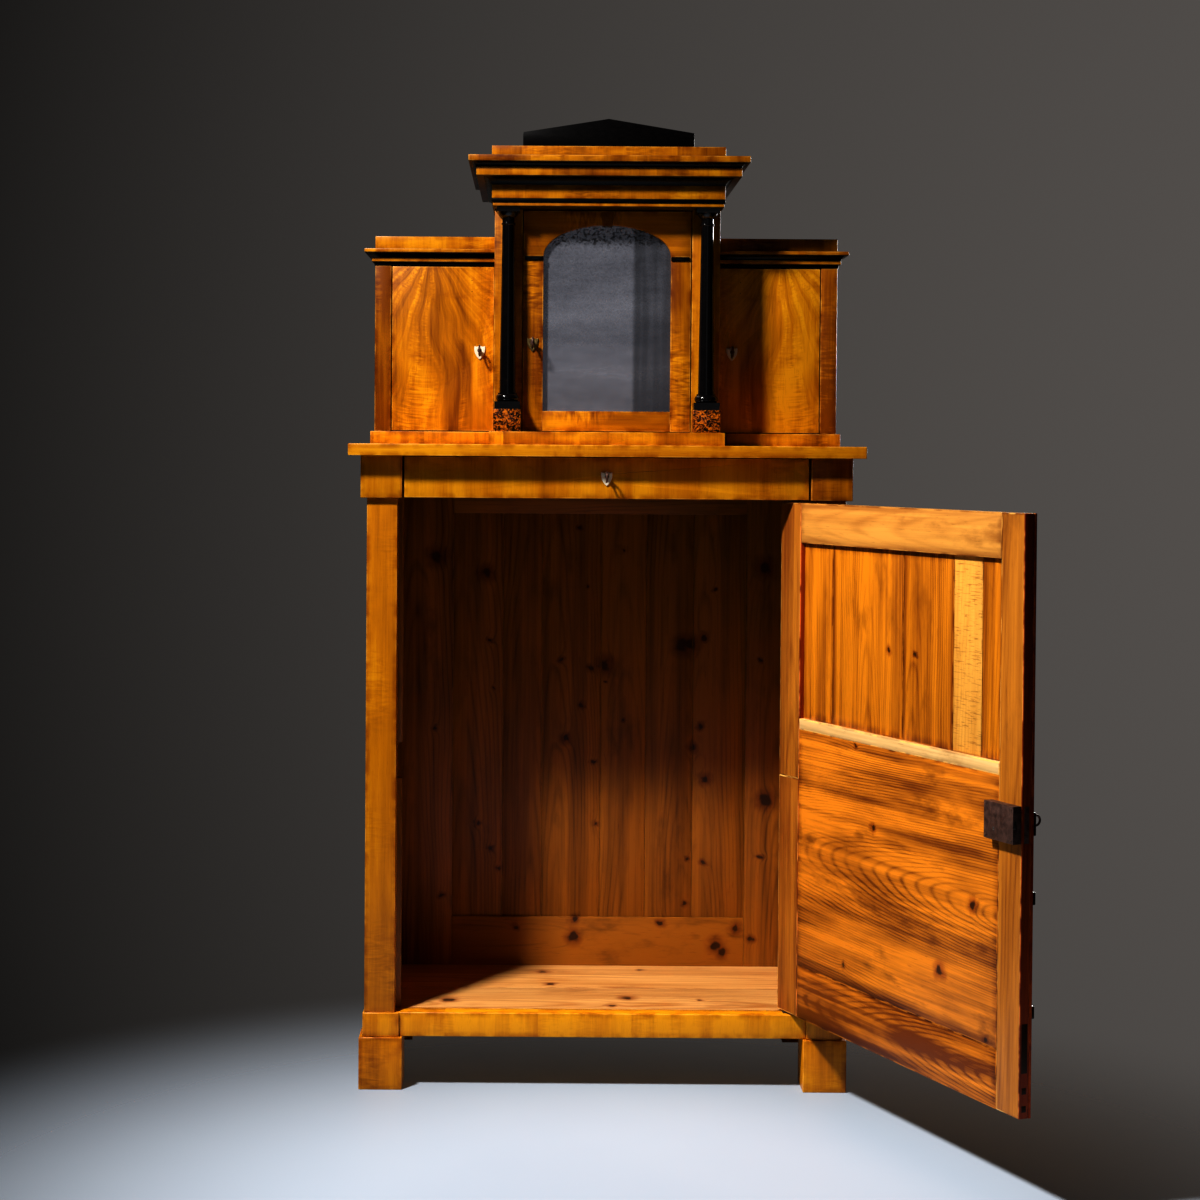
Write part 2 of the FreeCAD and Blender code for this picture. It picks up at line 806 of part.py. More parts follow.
def cupboard_door(lock):
    """Framed pine door behind a veneered facing with false mouldings, drawn closed."""
    y_frame = y_door_out + door_facing_thickness
    x_hinge_stile = x_hinge_edge - hinge_stile_width
    x_lock_stile = x_lock_edge + lock_stile_width
    z_patch = z_door_low + hinge_stile_lower_length
    z_top_rail = z_door_high - door_top_rail
    z_panel = z_top_rail - door_upper_panel
    z_mid_rail = z_panel - door_mid_rail
    z_joint = z_door_low + door_bottom_board
    stiles = [
        board(x_hinge_stile, x_hinge_edge, y_frame, y_door_in, z_door_low, z_patch),
        board(x_hinge_stile, x_hinge_edge, y_frame, y_door_in, z_patch, z_door_high),
        board(x_lock_edge, x_lock_stile, y_frame, y_door_in, z_door_low, z_door_high),
    ]
    rails = [
        board(x_lock_stile, x_hinge_stile, y_frame, y_door_in, z_top_rail, z_door_high),
        board(x_lock_stile, x_hinge_stile, y_frame, y_door_in, z_mid_rail, z_panel),
    ]
    spans = share_out(0, x_hinge_stile - x_lock_stile, upper_board_widths, upper_board_gap)
    y_panel = y_frame + door_panel_thickness
    upper = [
        board(x_hinge_stile - far, x_hinge_stile - near, y_frame, y_panel, z_panel, z_top_rail)
        for near, far in spans
    ]
    lower = [
        board(x_lock_stile, x_hinge_stile, y_frame, y_door_in, z_door_low, z_joint),
        board(x_lock_stile, x_hinge_stile, y_frame, y_door_in, z_joint, z_mid_rail),
    ]
    facing = board(x_lock_edge, x_hinge_edge, y_door_out, y_frame, z_door_low, z_door_high)
    x_bead_low = x_lock_edge + bead_lock_end_gap
    x_bead_high = x_hinge_edge - bead_hinge_end_gap
    beads = []
    strips = ((lower_bead_lift, bead_height), (middle_bead_lift, bead_height), (ledge_lift, ledge_height))
    for lift, height in strips:
        z = z_door_low + lift
        beads.append(board(x_bead_low, x_bead_high, y_door_out - bead_proud, y_door_out, z, z + height))
    plates = []
    cuts = [lock.keyhole(y_door_out - bead_proud)]
    for z, way in ((z_door_low, 1), (z_door_high, -1)):
        thickness, half_length, half_width = main_plate
        sheet = board(
            pivot_x - half_length,
            pivot_x + half_length,
            pivot_y - half_width,
            pivot_y + half_width,
            z,
            z + way * thickness,
        )
        hole = pivot_hole(pivot_x, pivot_y, z, way, pivot_radius, pivot_length)
        plates.append(sheet.cut(hole))
        cuts.append(sheet.fuse(hole))

    def bored(pieces):
        return [piece.cut(cuts) for piece in pieces]

    return {
        "door_stiles": swing(bored(stiles)),
        "door_rails": swing(bored(rails)),
        "door_upper_boards": swing(bored(upper)),
        "door_lower_boards": swing(bored(lower)),
        "door_facing": swing(bored([facing])),
        "door_mouldings": swing(bored(beads)),
        "door_hinge_plates": swing(plates),
    }


def lock_set(name, lock, y_face, place):
    """Case, escutcheon, bolt and key of one lock, put in place by a function."""
    y_shield = y_face - shield_thickness
    return {
        name + "_lock_case": place([lock.case()]),
        name + "_escutcheon": place([lock.escutcheon(y_face)]),
        name + "_bolt": place([lock.bolt()]),
        name + "_key": place([lock.key(y_shield)]),
    }


def stay(shapes):
    """Leave pieces where they are drawn."""
    return shapes


def drawer(lock):
    """Frieze drawer: veneered front, two sides and a back, and a thin bottom."""
    x_front = x_block_in - drawer_end_gap
    front = board(
        -x_front, x_front, y_drawer, y_drawer_back, z_frieze + drawer_edge_gap, z_slab - drawer_edge_gap
    )
    x_out = x_block_in - drawer_side_gap
    x_in = x_out - drawer_side_thickness
    z_high = z_slab - drawer_side_drop
    y_in = y_drawer_end - drawer_side_thickness
    z_bottom = z_drawer_floor - drawer_bottom_thickness
    box = [
        board(-x_out, -x_in, y_drawer_back, y_drawer_end, z_drawer_low, z_high),
        board(x_in, x_out, y_drawer_back, y_drawer_end, z_drawer_low, z_high),
        board(-x_in, x_in, y_in, y_drawer_end, z_drawer_low, z_high),
    ]
    bottom = board(-x_in, x_in, y_drawer_back, y_in, z_bottom, z_drawer_floor)
    return {
        "drawer_front": [front.cut(lock.keyhole(y_drawer))],
        "drawer_box": box,
        "drawer_bottom": [bottom],
    }


def wing_door(way, lock):
    """Flat wing door, pivoted at its outer edge, with the plates and pins that carry it."""
    x_out = x_wing - wing_stile_width - upper_door_gap
    x_free = x_centre + upper_door_gap
    z_low = z_body + upper_door_rise
    z_high = z_wing_head - upper_door_rise
    x_pivot = way * (x_out - small_pivot_backset)
    y_pivot = y_wing + small_pivot_depth
    leaf = board(way * x_free, way * x_out, y_wing, y_wing + wing_door_thickness, z_low, z_high)
    leaf = leaf.cut(lock.keyhole(y_wing))
    pins = []
    for z_plate, z_edge, turn in ((z_body, z_low, 1), (z_wing_head, z_high, -1)):
        leaf = leaf.cut(pivot_hole(x_pivot, y_pivot, z_edge, turn, *small_pin))
        pins.append(pivot(x_pivot, y_pivot, z_plate, turn, *small_pin, small_plate))
    return leaf, pins


def arch_outline(half, z_low, z_spring, rise, y):
    """Edges of an upright opening with a half-elliptic head."""
    low_left = vec(-half, y, z_low)
    low_right = vec(half, y, z_low)
    spring_left = vec(-half, y, z_spring)
    spring_right = vec(half, y, z_spring)
    ellipse = Part.Ellipse(spring_right, vec(0, y, z_spring + rise), vec(0, y, z_spring))
    head = Part.ArcOfEllipse(ellipse, 0, math.pi).toShape()
    return [line(low_left, low_right), line(low_right, spring_right), head, line(spring_left, low_left)]


def centre_door(lock):
    """Arched mirror door, pivoted at its right edge, with the plates and pins that carry it."""
    x_edge = x_post_in - upper_door_gap
    z_low = z_body + upper_door_rise
    z_high = z_centre_head - centre_door_head_gap
    y_rear = y_centre + centre_door_thickness
    half = x_edge - centre_stile_width
    z_sill = z_low + centre_bottom_rail
    z_spring = z_low + arch_spring_height
    y_glass = y_centre + mirror_lip
    x_pivot = x_edge - small_pivot_backset
    y_pivot = y_centre + small_pivot_depth
    through = vec(0, centre_door_thickness, 0)
    opening = prism(arch_outline(half, z_sill, z_spring, arch_rise, y_centre), through)

    def pane(margin, y, thickness):
        edges = arch_outline(half + margin, z_sill - margin, z_spring, arch_rise + margin, y)
        return prism(edges, vec(0, thickness, 0))

    cuts = [
        opening,
        pane(mirror_rebate, y_glass, centre_door_thickness - mirror_lip),
        lock.keyhole(y_centre),
    ]
    pins = []
    for z_plate, z_edge, turn in ((z_body, z_low, 1), (z_centre_head, z_high, -1)):
        cuts.append(pivot_hole(x_pivot, y_pivot, z_edge, turn, *small_pin))
        pins.append(pivot(x_pivot, y_pivot, z_plate, turn, *small_pin, small_plate))
    blanks = [
        board(-x_edge, -half, y_centre, y_rear, z_low, z_spring),
        board(half, x_edge, y_centre, y_rear, z_low, z_spring),
        board(-half, half, y_centre, y_rear, z_low, z_sill),
        board(-x_edge, x_edge, y_centre, y_rear, z_spring, z_high),
    ]
    frame = [blank.cut(cuts) for blank in blanks]
    frame.append(keystone(z_spring + arch_rise - keystone_drop, z_high))
    margin = mirror_rebate - mirror_edge_gap
    x_impost = x_edge - impost_end_gap
    y_impost = y_centre - impost_proud
    imposts = [
        board(way * half, way * x_impost, y_impost, y_centre, z_spring - impost_height, z_spring)
        for way in (-1, 1)
    ]
    nodes = {
        "centre_door_frame": frame,
        "centre_imposts": imposts,
        "mirror_glass": [pane(margin, y_glass, mirror_thickness)],
        "mirror_back": [pane(margin, y_glass + mirror_thickness, mirror_back_thickness)],
    }
    return nodes, pins


def keystone(z_low, z_high):
    """Tapered keystone on the crown of the arch."""
    y = y_centre - keystone_proud
    corners = [
        vec(-keystone_bottom_width / 2, y, z_low),
        vec(keystone_bottom_width / 2, y, z_low),
        vec(keystone_top_width / 2, y, z_high),
        vec(-keystone_top_width / 2, y, z_high),
    ]
    edges = [line(a, b) for a, b in zip(corners, corners[1:] + corners[:1])]
    return prism(edges, vec(0, keystone_proud, 0))


def lock_seats():
    """The five locks, by the name of the door or drawer that each one shuts."""
    left = vec(-1, 0, 0)
    right = vec(1, 0, 0)
    up = vec(0, 0, 1)
    z_drawer_key = z_frieze + frieze_height / 2 + shield_drop
    drawer_top = z_slab - drawer_edge_gap
    drawer_tail = z_drawer_key - z_drawer_floor - drawer_case_gap
    x_main_key = x_lock_edge + main_key_backset
    x_wing_key = x_centre + upper_door_gap + wing_key_backset
    x_centre_key = -(x_post_in - upper_door_gap - centre_key_backset)
    y_wing_in = y_wing + wing_door_thickness
    y_centre_in = y_centre + centre_door_thickness
    small = (small_case_tail, small_case_half_height, small_case_depth, small_bolt_thickness)
    wide = (drawer_tail, drawer_case_half_width, small_case_depth, small_bolt_thickness)
    main = (main_case_tail, main_case_half_height, main_case_depth, main_bolt_thickness)
    z_wing_key = z_body + wing_key_height
    z_centre_key = z_body + centre_key_height
    return {
        "main": LockSeat(x_main_key, z_main_key, y_door_in, main_key_backset, left, *main),
        "drawer": LockSeat(0, z_drawer_key, y_drawer_back, drawer_top - z_drawer_key, up, *wide),
        "left_wing": LockSeat(-x_wing_key, z_wing_key, y_wing_in, wing_key_backset, right, *small),
        "right_wing": LockSeat(x_wing_key, z_wing_key, y_wing_in, wing_key_backset, left, *small),
        "centre": LockSeat(x_centre_key, z_centre_key, y_centre_in, centre_key_backset, left, *small),
    }


def build():
    """All nodes by name, each a list of solids."""
    locks = lock_seats()
    nodes = {}
    nodes.update(carcass_sides())
    nodes.update(carcass_inside(locks["main"]))
    nodes.update(slab(locks["drawer"]))
    nodes.update(temple_body((locks["left_wing"], locks["right_wing"]), locks["centre"]))
    nodes.update(cornices())
    nodes.update(porch())
    nodes.update(cupboard_door(locks["main"]))
    nodes.update(drawer(locks["drawer"]))
    main_pin = (pivot_radius, pivot_length)
    pins = [
        pivot(pivot_x, pivot_y, z_floor, 1, *main_pin, main_plate),
        pivot(pivot_x, pivot_y, z_frieze, -1, *main_pin, main_plate),
    ]
    for way, name in ((-1, "left_wing"), (1, "right_wing")):
        leaf, wing_pins = wing_door(way, locks[name])
        nodes[name + "_door"] = [leaf]
        pins += wing_pins
    centre_nodes, centre_pins = centre_door(locks["centre"])
    nodes.update(centre_nodes)
    nodes["hinge_pins"] = pins + centre_pins
    faces = {
        "main": (y_door_out - bead_proud, swing),
        "drawer": (y_drawer, stay),
        "left_wing": (y_wing, stay),
        "right_wing": (y_wing, stay),
        "centre": (y_centre, stay),
    }
    for name, (y_face, place) in faces.items():
        nodes.update(lock_set(name, locks[name], y_face, place))
    return nodes


os.makedirs("parts", exist_ok=True)
for node_name, node_solids in build().items():
    export(node_name, node_solids)
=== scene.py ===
"""Looks of a two-part cabinet: a cupboard with a frieze drawer under a small temple with a mirror door.

Every piece is in metres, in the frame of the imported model: +Z is up and the front faces -Y.
"""

import json
import logging
import math
from collections import Counter
from dataclasses import dataclass, field
from enum import Enum
from typing import Any, Optional, Sequence, Union

import bpy
from mathutils import Matrix, Vector


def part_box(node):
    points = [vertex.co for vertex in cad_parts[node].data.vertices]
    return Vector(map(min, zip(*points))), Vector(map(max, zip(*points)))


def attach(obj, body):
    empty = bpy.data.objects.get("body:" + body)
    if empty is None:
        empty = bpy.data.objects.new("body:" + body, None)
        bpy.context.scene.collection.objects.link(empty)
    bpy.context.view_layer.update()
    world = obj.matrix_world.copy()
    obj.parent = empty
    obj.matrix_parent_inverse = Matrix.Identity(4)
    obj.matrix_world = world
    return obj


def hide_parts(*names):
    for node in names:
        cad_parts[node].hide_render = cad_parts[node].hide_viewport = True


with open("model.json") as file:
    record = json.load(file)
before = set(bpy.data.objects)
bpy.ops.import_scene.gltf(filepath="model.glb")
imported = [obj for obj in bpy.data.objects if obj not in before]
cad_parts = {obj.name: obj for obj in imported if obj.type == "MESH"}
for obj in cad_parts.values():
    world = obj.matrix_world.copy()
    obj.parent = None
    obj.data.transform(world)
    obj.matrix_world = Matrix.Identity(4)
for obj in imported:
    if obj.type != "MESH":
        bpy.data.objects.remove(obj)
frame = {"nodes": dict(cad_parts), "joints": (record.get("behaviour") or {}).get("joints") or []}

LOG = logging.getLogger("cabinet")
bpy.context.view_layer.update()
IMAGE_SIDE = 1200.0
UP = Vector((0.0, 0.0, 1.0))
Colour = tuple[float, float, float]
Triple = tuple[float, float, float]
# Painted shade laid on a free edge that faces away from the key lamp.
PAINTED_EDGE_SHADE: Colour = (0.75, 0.17, 0.02)
LOT_STEP = 0.37


def millimetres(value: float) -> float:
    """Give a length of millimetres in metres."""
    return value / 1000.0


class Slot(Enum):
    """Material slots of the record."""

    AMBER = "amber_veneer"
    EBONY = "ebonised_wood"
    BURL = "burl_veneer"
    DARK_PINE = "dark_pine"
    FLOOR_PINE = "floor_pine"
    DOOR_PINE = "door_pine"
    MIRROR = "old_mirror"
    IRON = "dark_iron"
    BONE = "bone"
    BRASS = "brass"


class Run(Enum):
    """Which way the grain of a board runs."""

    LONGEST = "longest"
    WIDTH = "width"
    DEPTH = "depth"
    HEIGHT = "height"


class Falloff(Enum):
    """How the light of a lamp fades with distance; an even one lights a tall piece alike from top to foot."""

    QUADRATIC = "Quadratic"
    EVEN = "Constant"


@dataclass(frozen=True)
class Axes:
    """Directions of a sub-assembly as its maker would name them."""

    width: Vector
    depth: Vector
    height: Vector

    @classmethod
    def turned(cls, degrees: float) -> "Axes":
        """Directions of a door that stands open.

        Args:
            degrees: Angle from the closed door, about the upright axis.

        Returns:
            The turned directions.
        """
        turn = Matrix.Rotation(math.radians(degrees), 3, "Z")
        return cls(turn @ Vector((1, 0, 0)), turn @ Vector((0, 1, 0)), UP.copy())

    def point(self, width: float, depth: float, height: float) -> Vector:
        """Place in the cabinet of a point given along these directions."""
        return self.width * width + self.depth * depth + self.height * height

    def frame_at(self, place: Vector, facing: Vector) -> Matrix:
        """Matrix that carries a piece modelled flat, facing +Z, to a place where it faces some way.

        Args:
            place: Where the piece's origin goes.
            facing: Where its +Z goes.

        Returns:
            The matrix; the piece's +Y goes up.
        """
        side = self.height.cross(facing).normalized()
        turn = Matrix((side, self.height, facing)).transposed()
        return Matrix.Translation(place) @ turn.to_4x4()


SQUARE = Axes(Vector((1, 0, 0)), Vector((0, 1, 0)), UP.copy())
MIRRORED = Axes(Vector((-1, 0, 0)), Vector((0, 1, 0)), UP.copy())


class Signal:
    """A shader socket that can be used in sums and products."""

    def __init__(self, paint: "Paint", socket: bpy.types.NodeSocket) -> None:
        """Hold a socket.

        Args:
            paint: Material that the socket belongs to.
            socket: Output socket of one of its nodes.
        """
        self.paint = paint
        self.socket = socket

    def _join(self, operation: str, *values: Any) -> "Signal":
        """Add a Math node."""
        return self.paint.node("ShaderNodeMath", {"operation": operation}, dict(enumerate(values)))

    def __add__(self, other: Any) -> "Signal":
        """Sum."""
        return self._join("ADD", self, other)

    def __radd__(self, other: Any) -> "Signal":
        """Sum, the other way round."""
        return self._join("ADD", other, self)

    def __sub__(self, other: Any) -> "Signal":
        """Difference."""
        return self._join("SUBTRACT", self, other)

    def __rsub__(self, other: Any) -> "Signal":
        """Difference, the other way round."""
        return self._join("SUBTRACT", other, self)

    def __mul__(self, other: Any) -> "Signal":
        """Product."""
        return self._join("MULTIPLY", self, other)

    def __rmul__(self, other: Any) -> "Signal":
        """Product, the other way round."""
        return self._join("MULTIPLY", other, self)

    def __truediv__(self, other: Any) -> "Signal":
        """Quotient."""
        return self._join("DIVIDE", self, other)

    def __rtruediv__(self, other: Any) -> "Signal":
        """Quotient, the other way round."""
        return self._join("DIVIDE", other, self)

    def __pow__(self, other: Any) -> "Signal":
        """Power."""
        return self._join("POWER", self, other)

    def least(self, other: Any) -> "Signal":
        """Smaller of two values."""
        return self._join("MINIMUM", self, other)

    def most(self, other: Any) -> "Signal":
        """Larger of two values."""
        return self._join("MAXIMUM", self, other)

    def sine(self) -> "Signal":
        """Sine of an angle in radians."""
        return self._join("SINE", self)

    def bearing(self, other: Any) -> "Signal":
        """Angle of the direction that goes this far aside and the other far ahead."""
        return self._join("ARCTAN2", self, other)

    def whole(self) -> "Signal":
        """Largest whole number that isn't above the value."""
        return self._join("FLOOR", self)

    def rise(self, low: float, high: float) -> "Signal":
        """Go smoothly from 0 to 1.

        Args:
            low: Value where the result is 0.
            high: Value where it is 1, which may be below low.

        Returns:
            The smooth step.
        """
        settings = {"interpolation_type": "SMOOTHSTEP"}
        inputs = {"Value": self, "From Min": min(low, high), "From Max": max(low, high)}
        risen = self.paint.node("ShaderNodeMapRange", settings, inputs)
        return risen if low < high else 1.0 - risen


class Paint:
    """A procedural material and the one method that adds its nodes."""

    ending = "ShaderNodeOutputMaterial"

    def __init__(self, name: str) -> None:
        """Start an empty material.

        Args:
            name: Name of the finish.
        """
        self.material = self.start(name)
        self.material.use_nodes = True
        self.tree = self.material.node_tree
        self.tree.nodes.clear()

    def start(self, name: str) -> bpy.types.ID:
        """Add the data block that the nodes go into."""
        return bpy.data.materials.new(name)

    def node(
        self,
        kind: str,
        settings: Optional[dict[str, Any]] = None,
        inputs: Optional[dict[Union[str, int], Any]] = None,
        output: Union[str, int] = 0,
    ) -> Signal:
        """Add a node.

        Args:
            kind: Blender's name for the type of node.
            settings: Properties of the node; "stops" gives a ramp's places and colours.
            inputs: Values or signals of its input sockets, by name or number.
            output: Output socket that the caller wants.

        Returns:
            The output as a signal.
        """
        made = self.tree.nodes.new(kind)
        for key, value in (settings or {}).items():
            if key == "stops":
                self._set_stops(made.color_ramp, value)
            else:
                setattr(made, key, value)
        for key, value in (inputs or {}).items():
            if isinstance(value, Signal):
                self.tree.links.new(value.socket, made.inputs[key])
            else:
                made.inputs[key].default_value = value
        return Signal(self, made.outputs[output])

    @staticmethod
    def _set_stops(ramp: bpy.types.ColorRamp, stops: Sequence[tuple[float, Colour]]) -> None:
        """Give a colour ramp its stops.

        Args:
            ramp: Ramp of a node.
            stops: Place and colour of each stop.
        """
        while len(ramp.elements) < len(stops):
            ramp.elements.new(1.0)
        for element, (place, colour) in zip(ramp.elements, stops):
            element.position = place
            element.color = (*colour, 1.0)

    def attribute(self, name: str) -> Signal:
        """Read a vector attribute of the piece."""
        return self.node("ShaderNodeAttribute", {"attribute_name": name}, output="Vector")

    def place(self) -> Signal:
        """Read the point's place in the cabinet."""
        return self.node("ShaderNodeTexCoord", output="Object")

    def parts(self, vector: Signal) -> tuple[Signal, Signal, Signal]:
        """Split a vector.

        Args:
            vector: Vector to split.

        Returns:
            Its three values.
        """
        first = self.node("ShaderNodeSeparateXYZ", inputs={0: vector})
        outputs = first.socket.node.outputs
        return first, Signal(self, outputs[1]), Signal(self, outputs[2])

    def combine(self, first: Any, second: Any, third: Any = 0.0) -> Signal:
        """Make a vector of three values."""
        return self.node("ShaderNodeCombineXYZ", None, {0: first, 1: second, 2: third})

    def vector(self, operation: str, *values: Any) -> Signal:
        """Add a Vector Math node and give its vector."""
        return self.node("ShaderNodeVectorMath", {"operation": operation}, dict(enumerate(values)))

    def measure(self, operation: str, *values: Any) -> Signal:
        """Add a Vector Math node and give its number."""
        return self.node("ShaderNodeVectorMath", {"operation": operation}, dict(enumerate(values)), "Value")

    def noise(
        self, vector: Signal, scale: Triple, detail: float, rough: float = 0.5, twist: float = 0.0
    ) -> Signal:
        """Add a noise that is stretched by a scale along each direction.

        Args:
            vector: Where the noise is read.
            scale: How many features fit in a metre, each way.
            detail: Number of finer layers.
            rough: Strength of the finer layers.
            twist: Distortion.

        Returns:
            The noise, about 0.5 on average.
        """
        inputs = {"Vector": self.vector("MULTIPLY", vector, scale), "Scale": 1.0, "Detail": detail}
        inputs.update({"Roughness": rough, "Distortion": twist})
        return self.node("ShaderNodeTexNoise", inputs=inputs)

    def swirl(self, vector: Signal, scale: float, detail: float) -> Signal:
        """Add a noise of three values, which can bend a pattern."""
        inputs = {"Vector": vector, "Scale": scale, "Detail": detail}
        return self.node("ShaderNodeTexNoise", None, inputs, "Color")

    def cells(self, vector: Signal, scale: Triple) -> Signal:
        """Add cells stretched by a scale along each direction, and give the distance to their middles."""
        inputs = {"Vector": self.vector("MULTIPLY", vector, scale), "Scale": 1.0}
        return self.node("ShaderNodeTexVoronoi", inputs=inputs, output="Distance")

    def chance(self, value: Signal) -> Signal:
        """Turn a number into a random one between 0 and 1."""
        return self.node("ShaderNodeTexWhiteNoise", {"noise_dimensions": "1D"}, {"W": value})

    def ramp(self, value: Signal, stops: Sequence[tuple[float, Colour]]) -> Signal:
        """Turn a value into a colour."""
        return self.node("ShaderNodeValToRGB", {"stops": stops}, {0: value})

    def mix(self, share: Signal, first: Any, second: Any, blend: str = "MIX") -> Signal:
        """Mix two colours.

        Args:
            share: Share of the second colour.
            first: Colour or signal at 0.
            second: Colour or signal at 1.
            blend: How the second colour is laid on the first.

        Returns:
            The mixed colour.
        """
        settings = {"data_type": "RGBA", "blend_type": blend}
        inputs = {"Factor": share}
        for number, value in ((6, first), (7, second)):
            inputs[number] = value if isinstance(value, Signal) else (*value, 1.0)
        return self.node("ShaderNodeMix", settings, inputs, 2)

    def bump(self, height: Signal, strength: float, depth: float) -> Signal:
        """Turn a height into a normal."""
        return self.node("ShaderNodeBump", None, {"Strength": strength, "Distance": depth, "Height": height})

    def finish(self, inputs: dict[str, Any]) -> bpy.types.Material:
        """Close the material with its shader.

        Args:
            inputs: Sockets of the shader.

        Returns:
            The finished material.
        """
        return self.show(self.node("ShaderNodeBsdfPrincipled", None, inputs))

    def show(self, shader: Signal) -> bpy.types.ID:
        """Send a shader to the surface.

        Args:
            shader: Shader to show.

        Returns:
            The finished material, world or lamp.
        """
        output = self.tree.nodes.new(self.ending)
        self.tree.links.new(shader.socket, output.inputs["Surface"])
        return self.material


class WorldPaint(Paint):
    """A surround that is made of nodes."""

    ending = "ShaderNodeOutputWorld"

    def start(self, name: str) -> bpy.types.ID:
        """Add the world and use it in the scene."""
        bpy.context.scene.world = bpy.data.worlds.new(name)
        return bpy.context.scene.world


class LampPaint(Paint):
    """A lamp that is made of nodes."""

    ending = "ShaderNodeOutputLight"

    def start(self, name: str) -> bpy.types.ID:
        """Add a rectangular lamp."""
        return bpy.data.lights.new(name, "AREA")


class BoardPaint:
    """What every wooden finish reads from its board: place along the grain, edges, and lot."""

    def __init__(self, paint: Paint) -> None:
        """Read the attributes of a board.

        Args:
            paint: Material that reads them.
        """
        self.grain = paint.attribute("grain")
        self.along, self.across, self.through = paint.parts(self.grain)
        self.lot, self.tone, _ = paint.parts(paint.attribute("lot"))
        shift = paint.combine(self.lot * 3.7, self.lot * 1.9, self.lot * 0.83)
        self.spot = paint.vector("ADD", self.grain, shift)
        room = paint.vector("SUBTRACT", paint.attribute("half"), paint.vector("ABSOLUTE", self.grain))
        a, b, c = paint.parts(room)
        self.edge = a.least(b).most(a.most(b).least(c))
        self.pith = (paint.chance(self.lot) - 0.5) * 0.12

    def free_side(self, paint: Paint) -> Signal:
        """Mark the narrow side where the place across the grain is lowest."""
        _, half, _ = paint.parts(paint.attribute("half"))
        return (self.across + half).rise(0.0022, 0.0008)

    def under_side(self, paint: Paint) -> Signal:
        """Mark the end where the place along the grain is lowest."""
        half, _, _ = paint.parts(paint.attribute("half"))
        return (self.along + half).rise(0.0022, 0.0004)

    def top_side(self, paint: Paint) -> Signal:
        """Mark the end where the place along the grain is highest."""
        half, _, _ = paint.parts(paint.attribute("half"))
        return (half - self.along).rise(0.0006, 0.0002)


@dataclass(frozen=True)
class Knot:
    """A knot in a board: its place in the sub-assembly and its radius, in millimetres."""

    x: float
    z: float
    radius: float

    @classmethod
    def rows(cls, *rows: Triple) -> tuple["Knot", ...]:
        """Make a knot of each row of two places and a radius."""
        return tuple(cls(*row) for row in rows)


